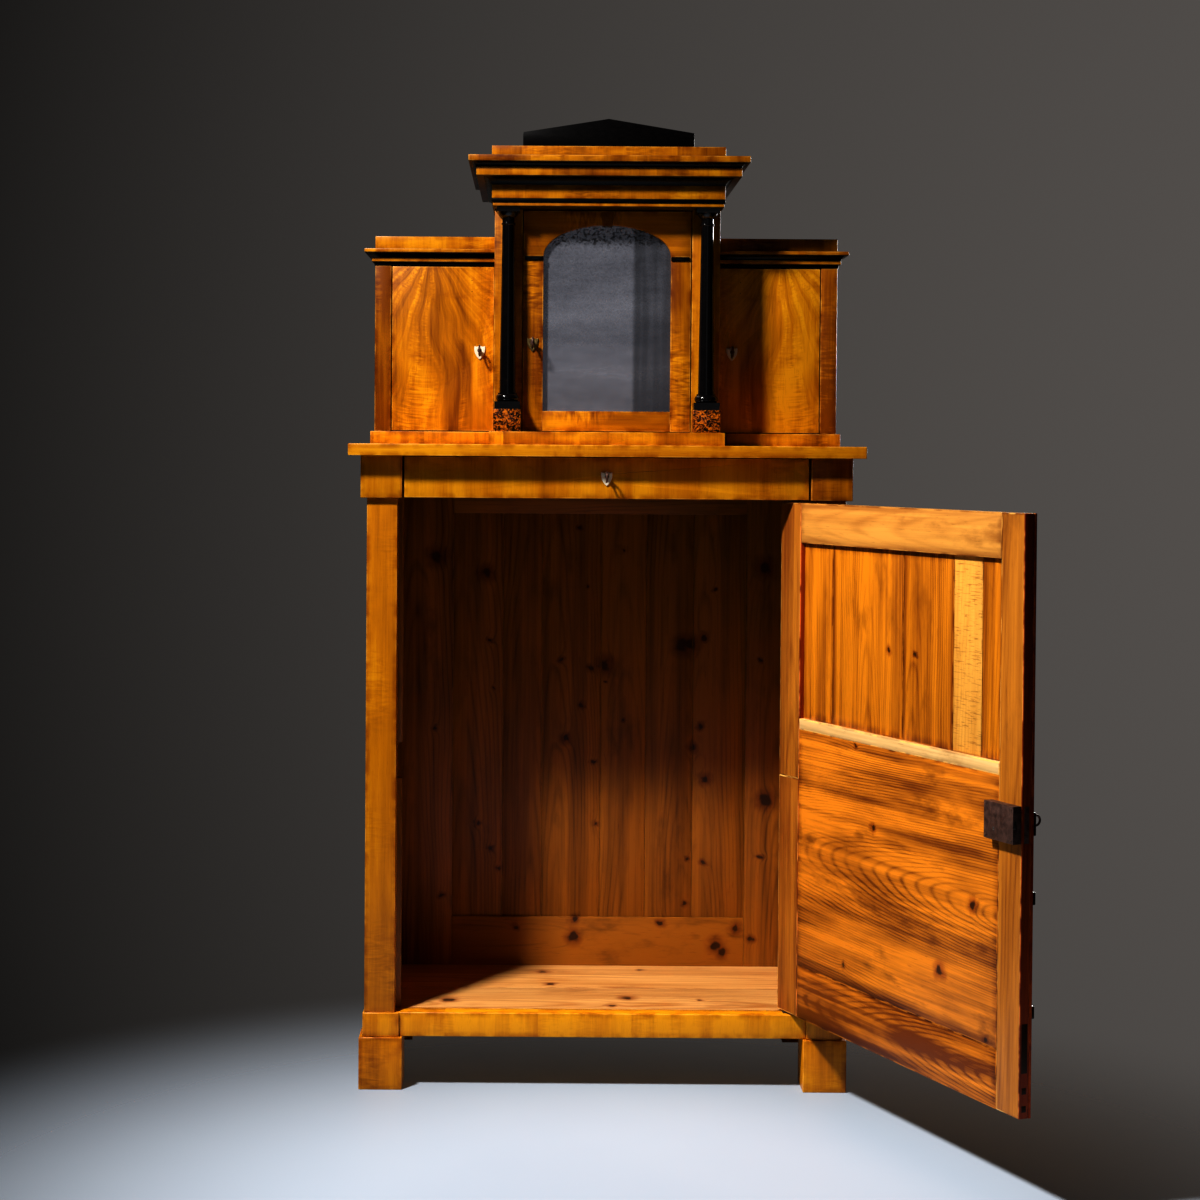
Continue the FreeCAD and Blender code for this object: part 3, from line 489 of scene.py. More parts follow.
@dataclass(frozen=True)
class VeneerFinish:
    """French-polished veneer with soft clouds, a curl, worm holes and rubbed edges.

    A veneer may be laid in short patches of cross grain, or fan out like a flame from a point above the leaf.
    """

    name: str
    pale: Colour = (0.76, 0.335, 0.006)
    honey: Colour = (0.55, 0.196, 0.002)
    brown: Colour = (0.22, 0.059, 0.001)
    curl: float = 0.5
    patch: float = 0.0
    patch_tone: float = 0.25
    fan: Optional[tuple[float, float]] = None
    worm: float = 0.5
    cloudy: float = 0.95
    shaded_free_edge: bool = False
    shelf: bool = False
    stain: Colour = (0.50, 0.27, 0.13)
    pore: Colour = (0.45, 0.22, 0.10)
    hole: Colour = (0.035, 0.010, 0.002)
    worn: Colour = (0.86, 0.44, 0.075)
    grime: Colour = (0.40, 0.17, 0.07)
    shade: Colour = (0.10, 0.12, 0.30)

    def figure(self, paint: Paint, board: BoardPaint) -> Signal:
        """Light and dark of the wood.

        Args:
            paint: Material that needs it.
            board: Board that it is on.

        Returns:
            About 0.5 on average, more where the wood is darker.
        """
        spot, tone = board.spot, (board.tone - 0.5) * 0.7
        if self.patch > 0.0:
            number = (board.across / self.patch + board.lot * 7.0).whole()
            draw = paint.chance(number)
            spot = paint.vector("ADD", spot, paint.combine(draw * 9.0, draw * 4.0, draw))
            tone = tone + (draw - 0.5) * self.patch_tone
        cloud = paint.noise(spot, (3.2, 11.0, 11.0), 3.0, 0.5, 0.6)
        band = paint.noise(spot, (1.0, 34.0, 34.0), 3.0)
        fibre = paint.noise(spot, (6.0, 180.0, 180.0), 5.0, 0.62)
        figure = (cloud - 0.5) * self.cloudy + band * 0.4 + fibre * 0.34 + tone + 0.13
        ripple = paint.noise(spot, (130.0, 26.0, 26.0), 2.0, 0.45, 1.2) - 0.5
        where = paint.noise(spot, (4.0, 7.0, 7.0), 1.0).rise(0.46, 0.64)
        figure = figure + ripple * where * self.curl
        if self.fan is not None:
            aside, ahead = board.across - self.fan[0], self.fan[1] - board.along
            reach = (aside * aside + ahead * ahead) ** 0.5
            sway = paint.noise(spot, (6.0, 10.0, 10.0), 2.0) - 0.5
            ray = paint.combine(reach, aside.bearing(ahead) + sway * 0.35, board.lot)
            plume = paint.noise(ray, (2.6, 4.5, 1.0), 3.0, 0.5, 0.5) - 0.5
            streak = paint.noise(ray, (3.0, 17.0, 1.0), 5.0, 0.6) - 0.5
            feather = paint.noise(ray, (210.0, 10.0, 1.0), 2.0, 0.5, 0.6) - 0.5
            figure = figure + plume * 1.0 + streak * 0.62 + feather * 0.8 * plume.rise(0.08, -0.10)
        return figure

    @staticmethod
    def deck(paint: Paint, board: BoardPaint) -> Signal:
        """Colour of the plain, dusty boards that close a cornice at its top.

        Args:
            paint: Material that needs it.
            board: Board that it is on.

        Returns:
            The colour, with its grain along the width.
        """
        fibre = paint.noise(board.spot, (20.0, 2.5, 130.0), 5.0, 0.6)
        dust = paint.noise(board.spot, (9.0, 5.0, 9.0), 4.0)
        stops = ((0.35, (0.36, 0.180, 0.055)), (0.75, (0.13, 0.052, 0.013)))
        return paint.ramp(fibre * 0.75 + dust * 0.35, stops)

    def material(self) -> bpy.types.Material:
        """Make the material.

        Returns:
            The finished material.
        """
        paint = Paint(self.name)
        board = BoardPaint(paint)
        figure = self.figure(paint, board)
        colour = paint.ramp(figure, ((0.24, self.pale), (0.50, self.honey), (0.82, self.brown)))
        stain = paint.noise(board.spot, (16.0, 9.0, 9.0), 4.0, 0.58).rise(0.60, 0.78)
        colour = paint.mix(stain * 0.65, colour, self.stain, "MULTIPLY")
        pores = paint.noise(board.spot, (45.0, 850.0, 850.0), 2.0).rise(0.60, 0.72)
        colour = paint.mix(pores * 0.30, colour, self.pore, "MULTIPLY")
        dots = paint.cells(board.spot, (52.0, 62.0, 62.0)).rise(0.085, 0.05)
        where = paint.noise(board.spot, (4.0, 6.0, 6.0), 2.0).rise(0.66 - 0.16 * self.worm, 0.72)
        holes = dots * where
        colour = paint.mix(holes * 0.85, colour, self.hole)
        uneven = paint.noise(board.spot, (30.0, 30.0, 30.0), 4.0)
        rubbed = board.edge.rise(0.0030, 0.0006) * uneven.rise(0.40, 0.66)
        colour = paint.mix(rubbed * 0.5, colour, self.worn)
        grime = board.edge.rise(0.014, 0.002) * uneven.rise(0.62, 0.34)
        colour = paint.mix(grime * 0.55, colour, self.grime, "MULTIPLY")
        if self.shaded_free_edge:
            # Painted shade: the free edge, which faces away from the key lamp, is darkened.
            colour = paint.mix(board.free_side(paint) * 0.9, colour, PAINTED_EDGE_SHADE, "MULTIPLY")
        if self.shelf:
            # Painted shade: the undersides of the cornice boards are darkened; the dusty top boards that
            # follow are their own colour.
            colour = paint.mix(board.under_side(paint) * 0.95, colour, self.shade, "MULTIPLY")
            colour = paint.mix(board.top_side(paint), colour, self.deck(paint, board))
        smear = paint.noise(board.spot, (11.0, 16.0, 16.0), 4.0)
        normal = paint.bump(figure * 0.5 - pores * 0.5 - holes * 1.6, 0.16, 0.0006)
        return paint.finish(
            {
                "Base Color": colour,
                "Roughness": 0.24 + smear * 0.20,
                "Coat Weight": 0.05,
                "Coat Roughness": 0.12,
                "Specular IOR Level": 0.16,
                "Normal": normal,
            }
        )


@dataclass(frozen=True)
class PineFinish:
    """Old pine: rings cut through a log, resin streaks, dirty edges, and knots where they are listed."""

    name: str
    early: Colour
    late: Colour
    stain: Colour
    knots: tuple[Knot, ...] = ()
    axes: Axes = SQUARE
    pivot: Triple = (0.0, 0.0, 0.0)
    lying: bool = False
    pitch: float = 0.0075
    lines: float = 0.45
    sway: float = 0.05
    depth: float = 0.045
    taper: float = 0.05
    rough: float = 0.42
    saw: float = 0.0
    clouds: float = 1.2
    stained: float = 0.6
    streaks: float = 0.9
    dirt: float = 0.65
    shaded: float = 0.0
    rub: float = 0.5
    worn: Optional[Colour] = None
    shaded_free_edge: bool = False
    fleck: Colour = (0.42, 0.26, 0.16)
    saw_mark: Colour = (0.36, 0.17, 0.06)
    halo: Colour = (0.42, 0.20, 0.10)
    core: Colour = (0.022, 0.007, 0.002)
    grime: Colour = (0.36, 0.18, 0.09)
    margin: Colour = (0.30, 0.12, 0.05)

    def knot_centre(self, knot: Knot) -> Triple:
        """Flat place of a knot, as the shader measures it."""
        turned = Vector(self.pivot).dot(self.axes.width)
        return (turned + millimetres(knot.x) - self.pivot[0], millimetres(knot.z), 0.0)

    def knot_field(self, paint: Paint) -> Optional[Signal]:
        """Distance to the nearest knot, counted in its radius.

        Args:
            paint: Material that needs it.

        Returns:
            The distance, or nothing where no knots are listed.
        """
        nearest = None
        place = paint.place()
        aside = paint.measure("DOT_PRODUCT", place, self.axes.width)
        _, ahead, up = paint.parts(place)
        flat = paint.combine(aside, ahead if self.lying else up)
        bent = paint.swirl(place, 42.0, 4.0)
        shift = paint.vector("MULTIPLY", paint.vector("SUBTRACT", bent, (0.5, 0.5, 0.5)), (0.030, 0.016, 0.0))
        flat = paint.vector("ADD", flat, shift)
        for knot in self.knots:
            share = paint.measure("DISTANCE", flat, self.knot_centre(knot)) / millimetres(knot.radius)
            nearest = share if nearest is None else nearest.least(share)
        return nearest

    def material(self) -> bpy.types.Material:
        """Make the material.

        Returns:
            The finished material.
        """
        paint = Paint(self.name)
        board = BoardPaint(paint)
        knots = self.knot_field(paint) if self.knots else None
        drift = paint.noise(board.spot, (1.5, 6.0, 6.0), 2.0, 0.5, 0.3) - 0.5
        centre = board.across + board.pith + drift * self.sway
        below = board.through + self.depth + board.along * self.taper
        phase = ((centre * centre + below * below) ** 0.5) * (math.tau / self.pitch)
        if knots is not None:
            phase = phase + 9.0 / (knots * knots * 0.3 + 1.0)
        rings = (phase.sine() * 0.5 + 0.5) ** 3.6
        fade = paint.noise(board.spot, (2.0, 16.0, 16.0), 2.0).rise(0.30, 0.66)
        fibre = paint.noise(board.spot, (5.0, 210.0, 210.0), 5.0, 0.6)
        cloud = paint.noise(board.spot, (2.6, 14.0, 14.0), 4.0, 0.55)
        streak = paint.noise(board.spot, (1.1, 55.0, 55.0), 4.0, 0.6) - 0.5
        wood = rings * fade * self.lines + fibre * 0.5 + (board.tone - 0.5) * 0.9 + 0.1
        wood = wood + (cloud - 0.5) * self.clouds + streak * self.streaks
        colour = paint.ramp(wood, ((0.10, self.early), (0.95, self.late)))
        blotch = paint.noise(board.spot, (6.0, 15.0, 15.0), 5.0, 0.6).rise(0.54, 0.76)
        colour = paint.mix(blotch * self.stained, colour, self.stain)
        flecks = paint.noise(board.spot, (26.0, 330.0, 330.0), 3.0, 0.6).rise(0.60, 0.74)
        colour = paint.mix(flecks * 0.45, colour, self.fleck, "MULTIPLY")
        height = fibre * 0.5 - rings * fade * 0.5 - flecks * 0.4
        if self.saw > 0.0:
            marks = paint.noise(board.spot, (460.0, 36.0, 36.0), 2.0, 0.5, 0.6).rise(0.52, 0.74)
            colour = paint.mix(marks * self.saw, colour, self.saw_mark, "MULTIPLY")
            height = height - marks
        if knots is not None:
            colour = paint.mix(knots.rise(2.6, 0.7) * 0.75, colour, self.halo, "MULTIPLY")
            core = knots.rise(1.10, 0.55)
            colour = paint.mix(core * 0.9, colour, self.core)
            height = height - core * 0.7
        uneven = paint.noise(board.spot, (22.0, 22.0, 22.0), 4.0)
        dirt = board.edge.rise(0.0045, 0.0005) * uneven.rise(0.30, 0.62)
        colour = paint.mix(dirt * self.dirt, colour, self.grime, "MULTIPLY")
        if self.shaded > 0.0:
            margin = board.edge.rise(0.020, 0.001) * streak.rise(-0.22, 0.12)
            colour = paint.mix(margin * self.shaded, colour, self.margin, "MULTIPLY")
        rubbed = board.edge.rise(0.0034, 0.0008) * uneven.rise(0.58, 0.42)
        colour = paint.mix(rubbed * self.rub, colour, self.worn or self.early)
        if self.shaded_free_edge:
            # Painted shade: the free edge, which faces away from the key lamp, is darkened.
            colour = paint.mix(board.free_side(paint) * 0.9, colour, PAINTED_EDGE_SHADE, "MULTIPLY")
        return paint.finish(
            {
                "Base Color": colour,
                "Roughness": self.rough + cloud * 0.16,
                "Specular IOR Level": 0.24,
                "Normal": paint.bump(height, 0.32, 0.0008),
            }
        )


@dataclass(frozen=True)
class EbonyFinish:
    """Black-stained, polished wood with a little brown where it is rubbed."""

    name: str = "ebonised wood"
    rough: float = 0.11
    gloss: float = 0.40

    def material(self) -> bpy.types.Material:
        """Make the material.

        Returns:
            The finished material.
        """
        paint = Paint(self.name)
        place = paint.place()
        streak = paint.noise(place, (60.0, 60.0, 240.0), 5.0, 0.6)
        smear = paint.noise(place, (26.0, 26.0, 26.0), 4.0)
        colour = paint.ramp(streak, ((0.3, (0.0016, 0.0015, 0.0018)), (0.75, (0.005, 0.004, 0.004))))
        worn = paint.noise(place, (80.0, 80.0, 80.0), 4.0).rise(0.64, 0.78)
        colour = paint.mix(worn * 0.2, colour, (0.030, 0.013, 0.006))
        return paint.finish(
            {
                "Base Color": colour,
                "Roughness": self.rough + smear * 0.1,
                "Specular IOR Level": self.gloss,
                "Normal": paint.bump(streak, 0.1, 0.0004),
            }
        )


@dataclass(frozen=True)
class BurlFinish:
    """Polished burl: tight swirls of orange and near black."""

    name: str = "burl veneer"

    def material(self) -> bpy.types.Material:
        """Make the material.

        Returns:
            The finished material.
        """
        paint = Paint(self.name)
        place = paint.place()
        swirl = paint.swirl(place, 60.0, 3.0)
        bent = paint.vector("ADD", place, paint.vector("MULTIPLY", swirl, (0.024, 0.024, 0.024)))
        curl = paint.noise(bent, (150.0, 150.0, 260.0), 4.0, 0.6, 1.0)
        eyes = paint.cells(bent, (160.0, 160.0, 160.0))
        mark = curl * 1.15 + eyes * 0.22 - 0.12
        stops = (
            (0.49, (0.004, 0.002, 0.001)),
            (0.55, (0.05, 0.011, 0.001)),
            (0.62, (0.46, 0.11, 0.003)),
            (0.78, (0.74, 0.25, 0.008)),
        )
        return paint.finish(
            {
                "Base Color": paint.ramp(mark, stops),
                "Roughness": 0.22 + curl * 0.14,
                "Coat Weight": 0.3,
                "Coat Roughness": 0.1,
                "Normal": paint.bump(mark, 0.12, 0.0005),
            }
        )


@dataclass(frozen=True)
class MirrorFinish:
    """Old silvered glass: grey and grainy, spoiled under the arch, with a painted dark reflection along its
    right side.
    """

    crown: float
    shade: float = 0.054
    name: str = "old mirror"

    def material(self) -> bpy.types.Material:
        """Make the material.

        Returns:
            The finished material.
        """
        paint = Paint(self.name)
        place = paint.place()
        x, _, z = paint.parts(place)
        haze = paint.noise(place, (3.0, 3.0, 20.0), 4.0, 0.6)
        grain = paint.noise(place, (620.0, 620.0, 620.0), 3.0, 0.75)
        cloud = paint.noise(place, (50.0, 50.0, 70.0), 4.0, 0.7)
        streak = paint.noise(place, (60.0, 60.0, 2.0), 2.0, 0.5)
        worn = z.rise(self.crown - 0.056, self.crown - 0.040)
        upper = z.rise(self.crown - 0.30, self.crown - 0.08)
        specks = paint.noise(place, (140.0, 140.0, 170.0), 6.0, 0.8).rise(0.49, 0.57)
        foxing = specks * (worn * 0.6 + upper * 0.32)
        corner = x.rise(0.05, 0.07) * z.rise(self.crown - 0.28, self.crown - 0.42)
        flakes = paint.noise(place, (34.0, 34.0, 50.0), 6.0, 0.75).rise(0.54, 0.62) * corner
        tone = haze * 0.8 + (grain - 0.5) * 0.6 + (cloud - 0.5) * 0.3 + 0.12
        silver = paint.ramp(tone, ((0.22, (0.23, 0.235, 0.28)), (0.78, (0.56, 0.57, 0.66))))
        # Painted reflection: the glass is darkened along its right side, as by a dark part of the room
        # reflected in it.
        dull = x.rise(self.shade - 0.004, self.shade + 0.006) * (0.80 - streak.rise(0.45, 0.75) * 0.25)
        silver = paint.mix(dull, silver, (0.28, 0.28, 0.28), "MULTIPLY")
        spoiled = foxing.most(flakes * 0.7)
        silver = paint.mix(spoiled, silver, (0.012, 0.012, 0.013))
        return paint.finish(
            {
                "Base Color": silver,
                "Metallic": 0.75 - spoiled * 0.4,
                "Roughness": 0.12 + grain * 0.14 + haze * 0.10,
                "Normal": paint.bump(haze, 0.05, 0.0008),
            }
        )


@dataclass(frozen=True)
class MetalFinish:
    """Worn metal with a mottled skin."""

    name: str
    dark: Colour
    light: Colour
    metallic: float
    rough: float
    scale: float = 90.0

    def material(self) -> bpy.types.Material:
        """Make the material.

        Returns:
            The finished material.
        """
        paint = Paint(self.name)
        place = paint.place()
        size = (self.scale, self.scale, self.scale)
        mottle = paint.noise(place, size, 6.0, 0.66)
        pits = paint.noise(place, (700.0, 700.0, 700.0), 2.0)
        colour = paint.ramp(mottle, ((0.32, self.dark), (0.70, self.light)))
        return paint.finish(
            {
                "Base Color": colour,
                "Metallic": self.metallic,
                "Roughness": self.rough + mottle * 0.22,
                "Normal": paint.bump(mottle + pits * 0.3, 0.22, 0.0006),
            }
        )


@dataclass(frozen=True)
class BoneFinish:
    """Polished bone, yellowed, with fine lines along it."""

    name: str = "bone"

    def material(self) -> bpy.types.Material:
        """Make the material.

        Returns:
            The finished material.
        """
        paint = Paint(self.name)
        place = paint.place()
        lines = paint.noise(place, (900.0, 900.0, 60.0), 3.0)
        age = paint.noise(place, (70.0, 70.0, 70.0), 3.0)
        colour = paint.ramp(lines * 0.4 + age * 0.7, ((0.3, (0.90, 0.86, 0.74)), (0.8, (0.74, 0.64, 0.44))))
        return paint.finish(
            {"Base Color": colour, "Roughness": 0.34 + age * 0.1, "Normal": paint.bump(lines, 0.1, 0.0002)}
        )


@dataclass(frozen=True)
class Cut:
    """How a board's edges are eased: the width in metres and the steps across it."""

    width: float
    steps: int = 2


FINE = Cut(0.0004)
CRISP = Cut(0.0006)
EASED = Cut(0.0011)
RUBBED = Cut(0.0018, 3)


class Bench:
    """Hand tools: each works on one piece, with all others deselected."""

    merge_distance = 1e-6
    flat_degrees = 0.4
    sharp_degrees = 40.0

    @staticmethod
    def take(piece: bpy.types.Object) -> None:
        """Select one piece alone and make it active.

        Args:
            piece: Piece to work on.
        """
        bpy.ops.object.select_all(action="DESELECT")
        piece.select_set(True)
        bpy.context.view_layer.objects.active = piece

    @staticmethod
    def pick(piece: bpy.types.Object, faces: Sequence[int]) -> None:
        """Select some faces of a piece and go into edit mode.

        Args:
            piece: Piece to work on.
            faces: Numbers of the faces.
        """
        Bench.take(piece)
        bpy.context.tool_settings.mesh_select_mode = (False, False, True)
        mesh = piece.data
        chosen = set(faces)
        mesh.vertices.foreach_set("select", [False] * len(mesh.vertices))
        mesh.edges.foreach_set("select", [False] * len(mesh.edges))
        mesh.polygons.foreach_set("select", [face.index in chosen for face in mesh.polygons])
        bpy.ops.object.mode_set(mode="EDIT")

    @staticmethod
    def shells(mesh: bpy.types.Mesh) -> list[list[int]]:
        """Group the loose faces of a CAD mesh into closed shells, which follow each other in it.

        Args:
            mesh: Mesh of a CAD node.

        Returns:
            Numbers of the faces of each shell.
        """
        corners = [tuple(round(value, 6) for value in vertex.co) for vertex in mesh.vertices]
        waiting: Counter = Counter()
        shells: list[list[int]] = [[]]
        for face in mesh.polygons:
            if shells[-1] and not waiting:
                shells.append([])
            shells[-1].append(face.index)
            ring = [corners[number] for number in face.vertices]
            for start, end in zip(ring, ring[1:] + ring[:1]):
                if waiting[(end, start)] > 0:
                    waiting[(end, start)] -= 1
                else:
                    waiting[(start, end)] += 1
            waiting = +waiting
        return shells

    @staticmethod
    def solids(node: str) -> list[bpy.types.Object]:
        """Give each solid of a CAD node as a piece of its own, merged and cleared of its triangles.

        Args:
            node: CAD node to copy.

        Returns:
            The pieces, from left to right, front to back and bottom to top, with no material.
        """
        mesh = frame["nodes"][node].data.copy()
        mesh.materials.clear()
        whole = bpy.data.objects.new(node + ".whole", mesh)
        bpy.context.scene.collection.objects.link(whole)
        Bench.take(whole)
        if mesh.has_custom_normals:
            bpy.ops.mesh.customdata_custom_splitnormals_clear()
        pieces = [whole]
        for shell in reversed(Bench.shells(mesh)[1:]):
            Bench.pick(whole, shell)
            bpy.ops.mesh.separate(type="SELECTED")
            bpy.ops.object.mode_set(mode="OBJECT")
            pieces.append(next(piece for piece in bpy.context.selected_objects if piece is not whole))
        for piece in pieces:
            Bench.take(piece)
            bpy.ops.object.mode_set(mode="EDIT")
            bpy.ops.mesh.select_all(action="SELECT")
            bpy.ops.mesh.remove_doubles(threshold=Bench.merge_distance)
            flat = math.radians(Bench.flat_degrees)
            bpy.ops.mesh.dissolve_limited(angle_limit=flat, use_dissolve_boundaries=False)
            bpy.ops.object.mode_set(mode="OBJECT")
        pieces.sort(key=Bench.middle)
        for number, piece in enumerate(pieces, start=1):
            piece.name = f"{node}.{number}"
            piece.data.name = piece.name
        return pieces

    @staticmethod
    def corners(piece: bpy.types.Object, axes: Axes) -> tuple[Vector, Vector]:
        """Measure a piece along a sub-assembly's directions.

        Args:
            piece: Piece to measure.
            axes: Directions of its sub-assembly.

        Returns:
            Its lowest and highest corner.
        """
        ways = (axes.width, axes.depth, axes.height)
        places = [[vertex.co.dot(way) for way in ways] for vertex in piece.data.vertices]
        low = Vector([min(place[k] for place in places) for k in range(3)])
        high = Vector([max(place[k] for place in places) for k in range(3)])
        return low, high

    @staticmethod
    def middle(piece: bpy.types.Object) -> tuple[float, ...]:
        """Middle of a piece, rounded so that pieces sort the same way each time."""
        low, high = Bench.corners(piece, SQUARE)
        return tuple(round((a + b) / 2, 4) for a, b in zip(low, high))

    @staticmethod
    def ease(piece: bpy.types.Object, cut: Optional[Cut], degrees: float = 32.0) -> None:
        """Round the sharp edges of a piece and shade it smooth.

        Args:
            piece: Piece to work on.
            cut: Width and steps of the rounding, or nothing to leave the edges.
            degrees: Edges flatter than this are shaded smooth.
        """
        Bench.take(piece)
        if cut is not None:
            bevel = piece.modifiers.new("eased edges", "BEVEL")
            bevel.width = cut.width
            bevel.segments = cut.steps
            bevel.limit_method = "ANGLE"
            bevel.angle_limit = math.radians(Bench.sharp_degrees)
            bevel.use_clamp_overlap = False
            bpy.ops.object.modifier_apply(modifier=bevel.name)
        bpy.ops.object.shade_smooth_by_angle(angle=math.radians(degrees))

    @staticmethod
    def plate(name: str, size: Triple, place: Matrix, cut: Cut = CRISP) -> bpy.types.Object:
        """Model a thin plate or strip.

        Args:
            name: Name of the piece.
            size: Its width, height and thickness.
            place: Where its middle goes.
            cut: How its edges are eased.

        Returns:
            The plate.
        """
        bpy.ops.object.select_all(action="DESELECT")
        bpy.ops.mesh.primitive_cube_add(size=1.0)
        piece = bpy.context.active_object
        piece.name = name
        bpy.ops.object.mode_set(mode="EDIT")
        bpy.ops.mesh.select_all(action="SELECT")
        bpy.ops.transform.resize(value=size)
        bpy.ops.object.mode_set(mode="OBJECT")
        Bench.settle(piece, place)
        Bench.ease(piece, cut)
        return piece

    @staticmethod
    def rivet(name: str, radius: float, height: float, place: Matrix) -> bpy.types.Object:
        """Model a rivet with a low domed head.

        Args:
            name: Name of the piece.
            radius: Radius of the head.
            height: Height of the head.
            place: Where the foot of the head goes.

        Returns:
            The rivet.
        """
        bpy.ops.object.select_all(action="DESELECT")
        bpy.ops.mesh.primitive_cylinder_add(vertices=24, radius=radius, depth=height)
        piece = bpy.context.active_object
        piece.name = name
        top = [face.index for face in piece.data.polygons if face.normal.z > 0.9]
        Bench.pick(piece, top)
        for share in (0.12, 0.22, 0.30):
            bpy.ops.mesh.inset(thickness=radius * share)
            bpy.ops.transform.translate(value=(0.0, 0.0, height * share))
        bpy.ops.object.mode_set(mode="OBJECT")
        Bench.settle(piece, place)
        Bench.ease(piece, None, 60.0)
        return piece

    @staticmethod
    def settle(piece: bpy.types.Object, place: Matrix) -> None:
        """Put a modelled piece in its place and write the place into its mesh.

        Args:
            piece: Piece to move.
            place: Where it goes.
        """
        Bench.take(piece)
        piece.matrix_world = place
        bpy.ops.object.transform_apply(location=True, rotation=True, scale=True)

    @staticmethod
    def mark(piece: bpy.types.Object, axes: Axes, run: Run, lot: float, tone: float) -> None:
        """Write the grain, half size and lot of a board on its points.

        Args:
            piece: Finished board.
            axes: Directions of its sub-assembly.
            run: Which way the grain runs.
            lot: Where in the log the board was cut from.
            tone: Paler than usual near 0, darker near 1.
        """
        low, high = Bench.corners(piece, axes)
        spans = high - low
        order = sorted(range(3), key=lambda k: -spans[k])
        if run is not Run.LONGEST:
            first = (Run.WIDTH, Run.DEPTH, Run.HEIGHT).index(run)
            order = [first] + [k for k in order if k != first]
        ways = (axes.width, axes.depth, axes.height)
        middle = (low + high) / 2
        half = [spans[k] / 2 for k in order]
        grains: list[float] = []
        for vertex in piece.data.vertices:
            grains.extend(vertex.co.dot(ways[k]) - middle[k] for k in order)
        count = len(piece.data.vertices)
        for name, values in (("grain", grains), ("half", half * count), ("lot", [lot, tone, 0.0] * count)):
            layer = piece.data.attributes.new(name, "FLOAT_VECTOR", "POINT")
            layer.data.foreach_set("vector", values)


